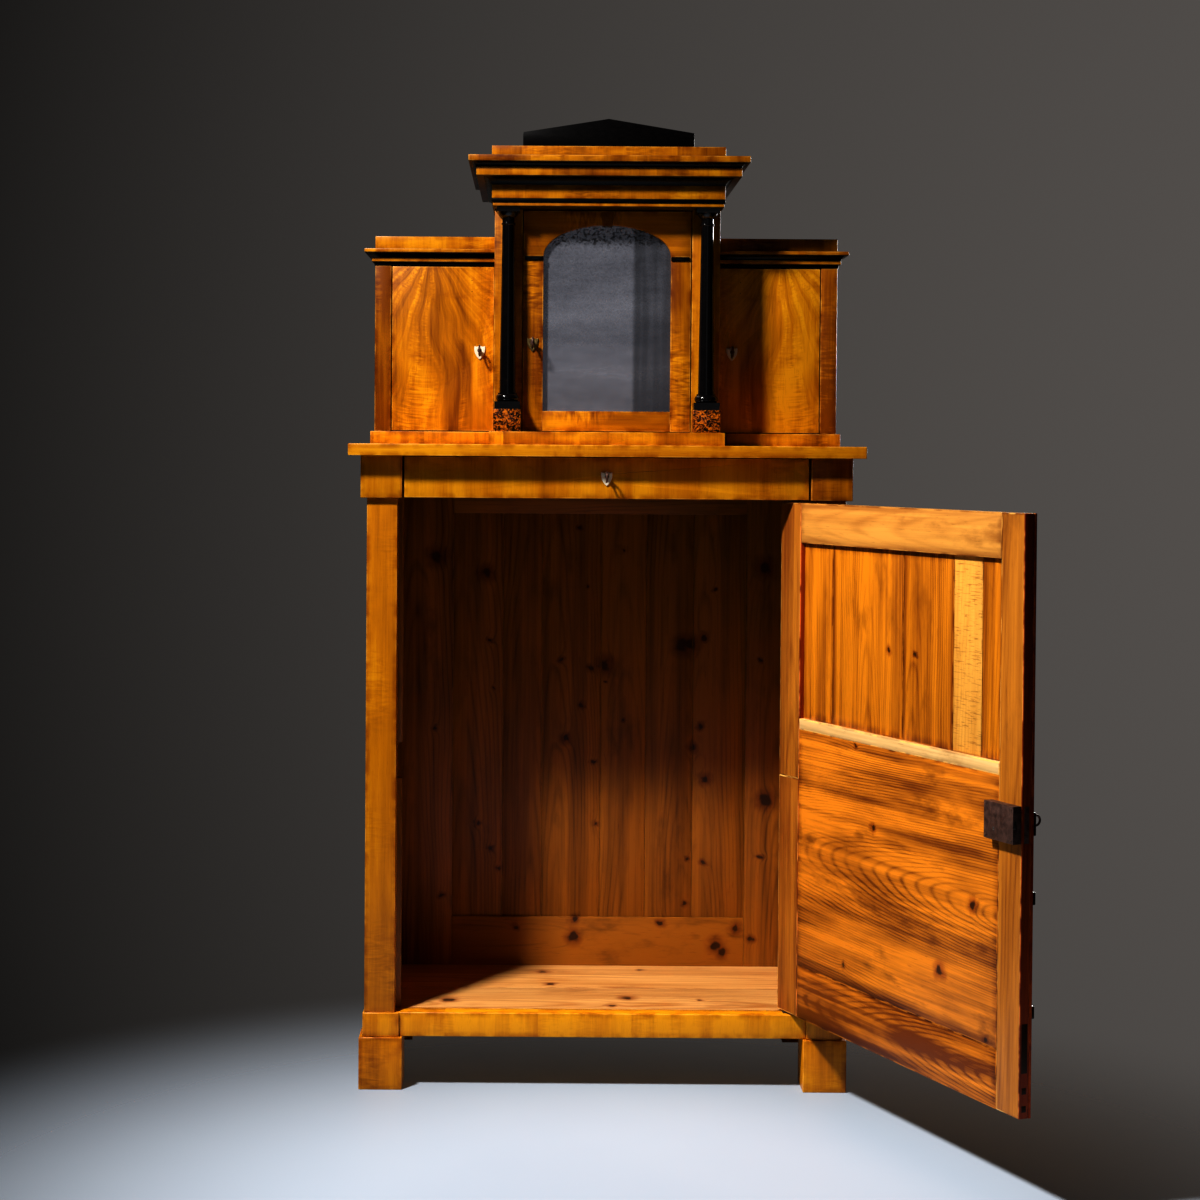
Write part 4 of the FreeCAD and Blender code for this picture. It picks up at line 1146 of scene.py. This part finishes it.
class Finishes:
    """All finishes of the cabinet, made once."""

    def __init__(self, door_axes: Axes, door_pivot: Triple) -> None:
        """Make the materials.

        Args:
            door_axes: Directions of the open cupboard door.
            door_pivot: Point on the hinge line of that door.
        """
        self.make_veneers()
        self.make_metals()
        self.make_pines(door_axes, door_pivot)

    def make_veneers(self) -> None:
        """Make the polished woods and the mirror."""
        self.veneer = VeneerFinish("amber veneer").material()
        self.post = VeneerFinish("pilaster veneer", curl=0.4, worm=1.0, cloudy=0.5).material()
        self.lively = VeneerFinish("curled veneer", curl=0.7, worm=0.25).material()
        self.figured = VeneerFinish("figured veneer", curl=1.1, worm=0.35, cloudy=1.5).material()
        self.flame = VeneerFinish("flame veneer", curl=0.3, fan=(-0.025, 0.22), worm=0.45).material()
        self.facing = VeneerFinish("door facing veneer", curl=0.3, fan=(0.0, 0.9), shaded_free_edge=True).material()
        banding = {"curl": 0.6, "patch": 0.105, "patch_tone": 0.12, "worm": 0.1}
        self.banded = VeneerFinish("banded veneer", **banding).material()
        self.shelved = VeneerFinish("cornice veneer", **banding, shelf=True).material()
        crossing = {"curl": 0.3, "patch": 0.19, "patch_tone": 0.10, "worm": 0.2}
        self.crossed = VeneerFinish("cross-grain veneer", **crossing).material()
        self.ebony = EbonyFinish().material()
        self.satin_ebony = EbonyFinish("satin ebonised wood", 0.22, 0.12).material()
        self.matt_ebony = EbonyFinish("matt ebonised wood", 0.30, 0.06).material()
        self.burl = BurlFinish().material()
        self.mirror = MirrorFinish(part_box("mirror_glass")[1].z).material()

    def make_metals(self) -> None:
        """Make the finishes of locks, keys and shields."""
        rust = ((0.045, 0.025, 0.020), (0.19, 0.105, 0.082))
        self.iron = MetalFinish("dark iron", *rust, 0.5, 0.34).material()
        self.steel = MetalFinish("bright iron", (0.16, 0.14, 0.12), (0.42, 0.40, 0.38), 1.0, 0.22).material()
        self.brass = MetalFinish("dull brass", (0.30, 0.18, 0.05), (0.62, 0.46, 0.20), 1.0, 0.26).material()
        self.bone = BoneFinish().material()

    def make_pines(self, door_axes: Axes, door_pivot: Triple) -> None:
        """Make the plain woods of the inside.

        Args:
            door_axes: Directions of the open cupboard door.
            door_pivot: Point on the hinge line of that door.
        """
        back = ((0.31, 0.110, 0.008), (0.095, 0.028, 0.002), (0.065, 0.017, 0.001))
        aged = {"rough": 0.36, "lines": 0.35, "streaks": 1.5, "dirt": 0.25}
        self.back = PineFinish("back pine", *back, self.back_knots(), **aged).material()
        rough = ((0.46, 0.22, 0.070), (0.25, 0.10, 0.026), (0.18, 0.065, 0.016))
        self.rough = PineFinish("rough pine", *rough, rough=0.5).material()
        floor = ((0.62, 0.345, 0.118), (0.40, 0.165, 0.036), (0.28, 0.092, 0.016))
        planed = {"lying": True, "pitch": 0.010, "lines": 0.75, "streaks": 1.8}
        self.floor = PineFinish("floor pine", *floor, self.floor_knots(), **planed).material()
        door = {"knots": self.door_knots(), "axes": door_axes, "pivot": door_pivot, "rough": 0.32}
        frame_wood = ((0.78, 0.390, 0.085), (0.38, 0.132, 0.018), (0.30, 0.095, 0.012))
        self.door = PineFinish("door pine", *frame_wood, **door, lines=0.3, shaded=0.45).material()
        stile_wood = ((0.58, 0.230, 0.024), (0.21, 0.058, 0.006), (0.15, 0.040, 0.004))
        arris = {"rub": 0.85, "worn": (0.92, 0.56, 0.15), "shaded_free_edge": True, "lines": 0.3, "streaks": 1.5}
        self.stile = PineFinish("door stile pine", *stile_wood, **door, **arris).material()
        panel_wood = ((0.69, 0.250, 0.010), (0.21, 0.050, 0.002), (0.15, 0.033, 0.001))
        panel = {"lines": 0.4, "pitch": 0.006, "streaks": 1.7, "shaded": 0.8}
        self.panel = PineFinish("door panel pine", *panel_wood, **door, **panel).material()
        plank_wood = ((0.74, 0.262, 0.017), (0.15, 0.034, 0.003), (0.12, 0.024, 0.002))
        plank = {"lines": 0.5, "pitch": 0.0050, "taper": 0.10, "streaks": 1.7, "shaded": 0.6}
        plank.update({"clouds": 2.3, "stained": 0.85})
        self.plank = PineFinish("door plank pine", *plank_wood, **door, **plank).material()
        plug_wood = ((0.050, 0.018, 0.005), (0.018, 0.006, 0.002), (0.012, 0.004, 0.001))
        self.plug = PineFinish("dark plug", *plug_wood).material()
        sawn_wood = ((0.82, 0.44, 0.085), (0.58, 0.25, 0.034), (0.46, 0.17, 0.018))
        self.sawn = PineFinish("sawn pine", *sawn_wood, lines=0.3, saw=0.6, rough=0.4).material()
        bare_wood = ((0.82, 0.55, 0.240), (0.46, 0.260, 0.085), (0.36, 0.180, 0.048))
        bare = {"rub": 0.95, "worn": (0.95, 0.58, 0.16), "dirt": 0.4}
        self.bare = PineFinish("bare pine", *bare_wood, **bare, lines=0.3, rough=0.52).material()

    @staticmethod
    def back_knots() -> tuple[Knot, ...]:
        """Knots of the back, seen through the open door.

        Returns:
            The knots, by their place across and up the cupboard.
        """
        return Knot.rows(
            (-363, 1064, 16), (-251, 1027, 12), (12, 824, 14), (-20, 815, 6), (184, 869, 15),
            (202, 872, 13), (232, 886, 6), (-86, 835, 5), (-75, 661, 8), (237, 570, 9),
            (209, 641, 8), (366, 1042, 15), (370, 526, 14), (-54, 220, 12), (-50, 258, 8),
            (262, 202, 12), (276, 186, 10), (306, 240, 10), (140, 250, 7), (-183, 239, 5),
            (-272, 468, 5), (58, 702, 4), (-40, 735, 5), (226, 689, 6), (-43, 1129, 4),
            (51, 1078, 3), (-27, 999, 3), (255, 994, 4), (-244, 877, 4), (359, 837, 4),
            (13, 788, 3), (-236, 771, 3), (-365, 681, 5), (-12, 607, 4), (-6, 470, 4),
            (-241, 414, 5), (-222, 368, 5), (-346, 309, 5), (234, 386, 5), (197, 394, 4),
            (194, 293, 5), (361, 400, 4), (342, 218, 6),
        )

    @staticmethod
    def floor_knots() -> tuple[Knot, ...]:
        """Knots of the floor boards.

        Returns:
            The knots, by their place across and into the cupboard.
        """
        return Knot.rows(
            (55, -94, 13), (-318, -121, 14), (-106, 26, 9), (93, 164, 6), (-120, 140, 10),
            (207, -107, 6), (20, -160, 8),
        )

    @staticmethod
    def door_knots() -> tuple[Knot, ...]:
        """Knots on the inner face of the cupboard door.

        Returns:
            The knots, by their place when the door is closed.
        """
        return Knot.rows(
            (57, 584, 7), (-175, 364, 11), (162, 302, 5), (-274, 501, 9), (-66, 925, 4),
            (24, 927, 6), (-212, 965, 4), (-225, 796, 8), (125, 735, 4), (-318, 272, 6),
        )


@dataclass
class SubAssembly:
    """A group of boards that share a body, their directions and their finishes."""

    finishes: Finishes
    body: str = "carcass"
    axes: Axes = SQUARE
    made: list[bpy.types.Object] = field(default_factory=list)

    def build(self) -> None:
        """Make and dress every piece, which each sub-assembly does in its own way."""
        raise NotImplementedError

    def keep(self, piece: bpy.types.Object, material: bpy.types.Material, slot: Slot, *nodes: str) -> None:
        """Give a piece its material and body.

        Args:
            piece: Finished piece.
            material: Its finish.
            slot: Slot of the record; not used.
            nodes: CAD nodes that it stands for.
        """
        piece.data.materials.clear()
        piece.data.materials.append(material)
        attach(piece, self.body)
        if nodes:
            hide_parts(*nodes)
        self.made.append(piece)

    def boards(
        self,
        node: str,
        materials: Union[bpy.types.Material, Sequence[bpy.types.Material]],
        slot: Slot,
        cut: Optional[Cut] = EASED,
        run: Run = Run.LONGEST,
        lot: float = 1.0,
        tones: Sequence[float] = (0.5,),
    ) -> list[bpy.types.Object]:
        """Make the boards of a CAD node, each with eased edges and its own grain.

        Args:
            node: CAD node that they stand for.
            materials: Their finish, or one for each board.
            slot: Slot of the record.
            cut: How their edges are eased.
            run: Which way the grain runs.
            lot: Where the first board was cut from; each next one is cut elsewhere.
            tones: How dark each board is, used in turn.

        Returns:
            The boards in order.
        """
        pieces = Bench.solids(node)
        coats = materials if isinstance(materials, Sequence) else [materials]
        for number, piece in enumerate(pieces):
            Bench.ease(piece, cut)
            Bench.mark(piece, self.axes, run, lot + LOT_STEP * number, tones[number % len(tones)])
            self.keep(piece, coats[number % len(coats)], slot, node)
        return pieces


@dataclass
class LowerCarcass(SubAssembly):
    """Feet, plinth, pilasters, sides, inside and slab of the cupboard."""

    tape_width: float = 0.014
    tape_thickness: float = 0.0008

    def build(self) -> None:
        """Make and dress every piece."""
        self.build_outside()
        self.build_inside()

    def build_outside(self) -> None:
        """Make the veneered pieces."""
        amber, veneer, crossed = Slot.AMBER, self.finishes.veneer, self.finishes.crossed
        self.boards("side_panels", veneer, amber, lot=2.0, tones=(0.55,))
        self.boards("pilasters", self.finishes.post, amber, RUBBED, lot=3.1, tones=(0.54, 0.54))
        self.boards("block_feet", veneer, amber, RUBBED, lot=4.2, tones=(0.59, 0.59))
        self.boards("plinth_rail", crossed, amber, RUBBED, Run.HEIGHT, 5.3, (0.45, 0.25, 0.45))
        self.boards("frieze_blocks", crossed, amber, RUBBED, Run.HEIGHT, 6.4, (0.5, 0.55))
        self.boards("top_slab", self.finishes.lively, amber, RUBBED, lot=7.5, tones=(0.18,))

    def build_inside(self) -> None:
        """Make the pine pieces."""
        back, pine = self.finishes.back, Slot.DARK_PINE
        self.boards("back_frame", back, pine, lot=8.6, tones=(0.55, 0.05, 0.5, 0.5))
        tones = (0.55, 0.62, 0.46, 0.36, 0.5, 0.38)
        planks = self.boards("back_boards", back, pine, FINE, lot=9.7, tones=tones)
        self.tape_joints(planks)
        self.boards("pilaster_cleats", back, pine, lot=10.8, tones=(0.5,))
        self.boards("dust_board", back, pine, lot=11.9, tones=(0.5,))
        self.boards("floor_cleats_and_drawer_guides", self.finishes.rough, pine, lot=12.1)
        self.boards("floor_boards", self.finishes.floor, Slot.FLOOR_PINE, lot=13.2, tones=(0.42, 0.5))

    def tape_joints(self, planks: Sequence[bpy.types.Object]) -> None:
        """Glue a thin strip behind each joint of the back, as against dust.

        Args:
            planks: Boards of the back, from left to right.
        """
        for number, (left, right) in enumerate(zip(planks, planks[1:]), start=1):
            low, high = Bench.corners(left, SQUARE)
            middle = (high.x + Bench.corners(right, SQUARE)[0].x) / 2
            size = (self.tape_width, self.tape_thickness, high.z - low.z)
            place = Matrix.Translation((middle, high.y + self.tape_thickness / 2, (low.z + high.z) / 2))
            tape = Bench.plate(f"back_joint_strip.{number}", size, place, FINE)
            Bench.mark(tape, SQUARE, Run.HEIGHT, 14.0 + number, 0.9)
            self.keep(tape, self.finishes.bare, Slot.DARK_PINE)


@dataclass
class CupboardDoor(SubAssembly):
    """Framed pine door with a veneered outer face.

    Each inlay of its free edge is given by its height above the floor, its width and its length.
    """

    inlay_proud: float = 0.00015
    lock_selvedge: Triple = (0.664, 0.010, 0.064)
    tenon_end: Triple = (0.280, 0.012, 0.085)
    upper_plug: Triple = (0.207, 0.009, 0.011)
    lower_plug: Triple = (0.176, 0.009, 0.011)

    def build(self) -> None:
        """Make and dress every piece."""
        kinds, pine = self.finishes, Slot.DOOR_PINE
        panels = (kinds.panel, kinds.panel, kinds.panel, kinds.sawn, kinds.panel)
        self.boards("door_stiles", kinds.stile, pine, RUBBED, Run.HEIGHT, 20.0, (0.88, 0.72, 0.50))
        self.boards("door_rails", (kinds.bare, kinds.door), pine, EASED, Run.WIDTH, 21.1, (0.4, 0.36))
        self.boards("door_upper_boards", panels, pine, EASED, Run.HEIGHT, 22.2, (0.5, 0.4, 0.45, 0.4, 0.5))
        self.boards("door_lower_boards", kinds.plank, pine, CRISP, Run.WIDTH, 23.3, (0.94, 0.50))
        self.boards("door_facing", kinds.facing, Slot.AMBER, CRISP, Run.HEIGHT, 24.4, (0.45,))
        self.boards("door_mouldings", kinds.ebony, Slot.EBONY, RUBBED, Run.WIDTH)
        self.boards("door_hinge_plates", kinds.iron, Slot.IRON, None)
        self.dress_free_edge()

    def dress_free_edge(self) -> None:
        """Let the selvedge of the lock, the end of a tenon and two plugs into the free edge."""
        low, high = Bench.corners(frame["nodes"]["door_stiles"], self.axes)
        middle = (low.y + high.y) / 2
        iron, wood = self.finishes.iron, self.finishes.plug
        pieces = (
            ("lock_selvedge", self.lock_selvedge, iron, Slot.IRON),
            ("tenon_end", self.tenon_end, wood, Slot.DOOR_PINE),
            ("edge_plug.1", self.upper_plug, wood, Slot.DOOR_PINE),
            ("edge_plug.2", self.lower_plug, wood, Slot.DOOR_PINE),
        )
        for name, (height, *size), material, slot in pieces:
            place = self.axes.frame_at(self.axes.point(low.x, middle, height), -self.axes.width)
            inlay = Bench.plate(name, (*size, 2 * self.inlay_proud), place, Cut(self.inlay_proud / 2))
            Bench.mark(inlay, self.axes, Run.HEIGHT, 25.0, 0.5)
            self.keep(inlay, material, slot)


@dataclass
class FriezeDrawer(SubAssembly):
    """Drawer in the frieze."""

    def build(self) -> None:
        """Make and dress every piece."""
        self.boards("drawer_front", self.finishes.crossed, Slot.AMBER, EASED, Run.HEIGHT, 30.0, (0.29,))
        self.boards("drawer_box", self.finishes.rough, Slot.DARK_PINE, lot=31.1)
        self.boards("drawer_bottom", self.finishes.rough, Slot.DARK_PINE, lot=32.2)


@dataclass
class Temple(SubAssembly):
    """Fixed pieces of the three compartments, their cornices, columns and pediment."""

    def build(self) -> None:
        """Make and dress every piece."""
        kinds, amber = self.finishes, Slot.AMBER
        self.boards("upper_plinth", kinds.banded, amber, EASED, Run.HEIGHT, 40.0, (0.45, 0.5))
        self.boards("wing_sides", kinds.lively, amber, EASED, Run.HEIGHT, 41.1, (0.92, 0.90))
        self.boards("centre_sides", kinds.veneer, amber, EASED, Run.HEIGHT, 42.2, (0.5, 0.55))
        self.boards("wing_cornices", kinds.shelved, amber, EASED, Run.HEIGHT, 43.3, (0.5,))
        self.boards("entablature", kinds.shelved, amber, EASED, Run.HEIGHT, 44.4, (0.45,))
        self.boards("cornice_boards", kinds.shelved, amber, EASED, Run.HEIGHT, 45.5, (0.62,))
        self.boards("upper_backs", kinds.rough, Slot.DARK_PINE, lot=46.6)
        self.boards("pediment", kinds.matt_ebony, Slot.EBONY)
        self.boards("ebonised_mouldings", kinds.satin_ebony, Slot.EBONY, CRISP)
        self.boards("columns", kinds.ebony, Slot.EBONY, None)
        self.boards("burl_blocks", kinds.burl, Slot.BURL)
        self.boards("hinge_pins", kinds.iron, Slot.IRON, None)


@dataclass
class WingDoor(SubAssembly):
    """Flat door of a wing."""

    side: str = "left"
    tone: float = 0.52

    def build(self) -> None:
        """Make and dress the leaf; the two leaves are cut from one log and laid as mirror images."""
        node, flame = self.side + "_wing_door", self.finishes.flame
        self.boards(node, flame, Slot.AMBER, CRISP, Run.HEIGHT, 50.0, (self.tone,))


@dataclass
class MirrorDoor(SubAssembly):
    """Arched door with the old mirror."""

    def build(self) -> None:
        """Make and dress every piece."""
        kinds = self.finishes
        self.boards("centre_door_frame", kinds.figured, Slot.AMBER, CRISP, lot=60.0, tones=(0.71, 0.82, 0.62))
        self.boards("centre_imposts", kinds.ebony, Slot.EBONY)
        self.boards("mirror_glass", kinds.mirror, Slot.MIRROR, None)
        self.boards("mirror_back", kinds.rough, Slot.DARK_PINE, CRISP)


@dataclass
class LockSet(SubAssembly):
    """Case, bolt, key and escutcheon of one lock."""

    lock: str = "main"
    rivet_radius: float = 0.0024
    rivet_height: float = 0.0012
    rivet_inset: float = 2.2
    pin_place: tuple[float, float] = (0.34, 0.70)
    pin_scale: float = 1.2

    def build(self) -> None:
        """Make and dress every piece."""
        bright = self.lock == "centre"
        shield = self.finishes.brass if bright else self.finishes.bone
        self.boards(self.lock + "_escutcheon", shield, Slot.BRASS if bright else Slot.BONE, FINE)
        self.boards(self.lock + "_lock_case", self.finishes.iron, Slot.IRON, CRISP)
        if self.lock == "main":
            self.rivet_case()
        leaf = self.body
        self.body = self.lock + "_bolt"
        self.boards(self.lock + "_bolt", self.finishes.steel, Slot.IRON, CRISP)
        self.body = self.lock + "_key"
        self.boards(self.lock + "_key", self.finishes.iron, Slot.IRON, None)
        self.body = leaf

    def rivet_case(self) -> None:
        """Rivet the corners of the case, and set the bright pin that the key turns on."""
        low, high = Bench.corners(frame["nodes"][self.lock + "_lock_case"], self.axes)
        inset = self.rivet_radius * self.rivet_inset
        spots = [(x, z) for x in (low.x + inset, high.x - inset) for z in (low.z + inset, high.z - inset)]
        inward, downward = self.pin_place
        pin = (high.x - inward * (high.x - low.x), high.z - downward * (high.z - low.z))
        for number, (x, z) in enumerate([*spots, pin], start=1):
            is_pin = (x, z) == pin
            place = self.axes.frame_at(self.axes.point(x, high.y, z), self.axes.depth)
            radius = self.rivet_radius * (self.pin_scale if is_pin else 1.0)
            rivet = Bench.rivet(f"{self.lock}_lock_rivet.{number}", radius, self.rivet_height, place)
            self.keep(rivet, self.finishes.steel if is_pin else self.finishes.iron, Slot.IRON)


@dataclass(frozen=True)
class Lamp:
    """A soft rectangular studio lamp."""

    name: str
    place: Triple
    target: Triple
    size: float
    watts: float
    tint: Colour
    falloff: Falloff = Falloff.QUADRATIC
    spared: Optional[bpy.types.Collection] = None

    def hang(self) -> None:
        """Add the lamp to the scene; it lights everything but the spared pieces."""
        paint = LampPaint(self.name)
        strength = paint.node("ShaderNodeLightFalloff", None, {"Strength": 1.0}, self.falloff.value)
        light = paint.show(paint.node("ShaderNodeEmission", None, {"Strength": strength}))
        light.shape = "SQUARE"
        light.size = self.size
        light.energy = self.watts
        light.color = self.tint
        lamp = bpy.data.objects.new(self.name, light)
        lamp.location = self.place
        aim = Vector(self.target) - Vector(self.place)
        lamp.rotation_euler = aim.to_track_quat("-Z", "Y").to_euler()
        if self.spared is not None:
            lamp.light_linking.receiver_collection = self.spared
        bpy.context.scene.collection.objects.link(lamp)


@dataclass
class Studio:
    """Floor, lights and camera; the floor fades out into the surround."""

    floor_side: float = 60.0
    floor_middle: Triple = (0.05, -1.05, 0.0)
    floor_near: float = 0.45
    floor_far: float = 1.75
    lens_pixels: float = 2258.3
    axis_pixel: tuple[float, float] = (541.0, 492.9)
    camera_place: Triple = (-0.1327, -4.8012, 1.2932)
    pitch: float = -1.0
    roll: float = 0.41
    sensor: float = 36.0
    dark: Colour = (0.0084, 0.0081, 0.0077)
    glow: Colour = (0.165, 0.153, 0.144)
    glow_way: Triple = (0.55, 0.83, 0.0)
    exposure: float = 0.09
    gamma: float = 0.72

    def lay_floor(self) -> bpy.types.Object:
        """Lay a plain pale floor without a hard horizon.

        Returns:
            The floor.
        """
        bpy.ops.object.select_all(action="DESELECT")
        bpy.ops.mesh.primitive_plane_add(size=self.floor_side, location=(0.0, 0.0, 0.0))
        floor = bpy.context.active_object
        floor.name = "studio_floor"
        paint = Paint("pale floor")
        place = paint.place()
        speck = paint.noise(place, (1.5, 1.5, 1.5), 3.0)
        colour = paint.ramp(speck, ((0.3, (0.45, 0.513, 0.605)), (0.7, (0.47, 0.535, 0.625))))
        pale = paint.node("ShaderNodeBsdfPrincipled", None, {"Base Color": colour, "Roughness": 0.55})
        clear = paint.node("ShaderNodeBsdfTransparent")
        far = paint.measure("DISTANCE", place, self.floor_middle).rise(self.floor_near, self.floor_far)
        faded = paint.node("ShaderNodeMixShader", None, {0: far, 1: pale, 2: clear})
        floor.data.materials.append(paint.show(faded))
        return floor

    def light(self, floor: bpy.types.Object) -> None:
        """Hang the lamps and set the soft surround.

        Args:
            floor: Floor, which the rear lamp leaves dark so that it throws no second shadow.
        """
        spared = bpy.data.collections.new("unlit from the rear")
        spared.objects.link(floor)
        spared.collection_objects[0].light_linking.link_state = "EXCLUDE"
        warm, cool = (1.0, 0.975, 0.94), (0.95, 0.97, 1.0)
        lamps = (
            Lamp("key lamp", (-1.2, -1.35, 2.9), (0.1, -0.15, 1.0), 0.24, 18.1, warm, Falloff.EVEN),
            Lamp("fill lamp", (0.16, -6.0, 1.95), (0.0, -0.15, 1.5), 1.6, 2.2, cool),
            Lamp("rear lamp", (2.3, 2.7, 1.9), (0.1, 0.0, 1.0), 1.2, 100.0, warm, spared=spared),
        )
        for lamp in lamps:
            lamp.hang()
        self.set_surround()
        view = bpy.context.scene.view_settings
        view.view_transform = "Standard"
        view.exposure = self.exposure
        view.gamma = self.gamma

    def set_surround(self) -> None:
        """Make the surround dark in front of the cabinet, with a soft glow behind it."""
        paint = WorldPaint("soft surround")
        way = paint.node("ShaderNodeTexCoord", output="Generated")
        ahead = paint.measure("DOT_PRODUCT", way, self.glow_way)
        colour = paint.ramp(ahead, ((0.62, self.dark), (0.98, self.glow)))
        paint.show(paint.node("ShaderNodeBackground", None, {"Color": colour}))

    def set_camera(self) -> None:
        """Stand the camera where the view was taken from."""
        lens = bpy.data.cameras.new("view")
        lens.sensor_width = self.sensor
        lens.lens = self.lens_pixels / IMAGE_SIDE * self.sensor
        lens.shift_x = (IMAGE_SIDE / 2 - self.axis_pixel[0]) / IMAGE_SIDE
        lens.shift_y = (self.axis_pixel[1] - IMAGE_SIDE / 2) / IMAGE_SIDE
        camera = bpy.data.objects.new("view", lens)
        level = Matrix.Rotation(math.radians(90.0 + self.pitch), 4, "X")
        tilt = Matrix.Rotation(math.radians(self.roll), 4, "Z")
        camera.matrix_world = Matrix.Translation(self.camera_place) @ level @ tilt
        bpy.context.scene.collection.objects.link(camera)
        bpy.context.scene.camera = camera

    def build(self) -> None:
        """Set up the whole studio."""
        self.light(self.lay_floor())
        self.set_camera()


def joint(name: str) -> dict[str, Any]:
    """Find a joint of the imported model.

    Args:
        name: Name of the joint.

    Returns:
        Its record.
    """
    return next(each for each in frame["joints"] if each["name"] == name)


def main() -> None:
    """Build the cabinet's looks in order."""
    logging.basicConfig(level=logging.INFO, format="%(message)s")
    swing = joint("main_door_swing")
    door_axes = Axes.turned(-swing["range_deg"][0])
    finishes = Finishes(door_axes, (swing["pos_m"][0], swing["pos_m"][1], 0.0))
    assemblies: list[SubAssembly] = [
        LowerCarcass(finishes),
        CupboardDoor(finishes, "main_door", door_axes),
        FriezeDrawer(finishes, "drawer"),
        Temple(finishes),
        WingDoor(finishes, "left_wing_door", SQUARE, side="left"),
        # Painted light: the right leaf gets a paler tone than the left to even out how the lamps light the
        # two leaves.
        WingDoor(finishes, "right_wing_door", MIRRORED, side="right", tone=0.30),
        MirrorDoor(finishes, "centre_door"),
        LockSet(finishes, "main_door", door_axes, lock="main"),
        LockSet(finishes, "drawer", lock="drawer"),
        LockSet(finishes, "left_wing_door", lock="left_wing"),
        LockSet(finishes, "right_wing_door", lock="right_wing"),
        LockSet(finishes, "centre_door", lock="centre"),
    ]
    for assembly in assemblies:
        assembly.build()
        for piece in assembly.made:
            LOG.info("%s: %d faces", piece.name, len(piece.data.polygons))
    Studio().build()


if __name__ == "__main__":
    main()
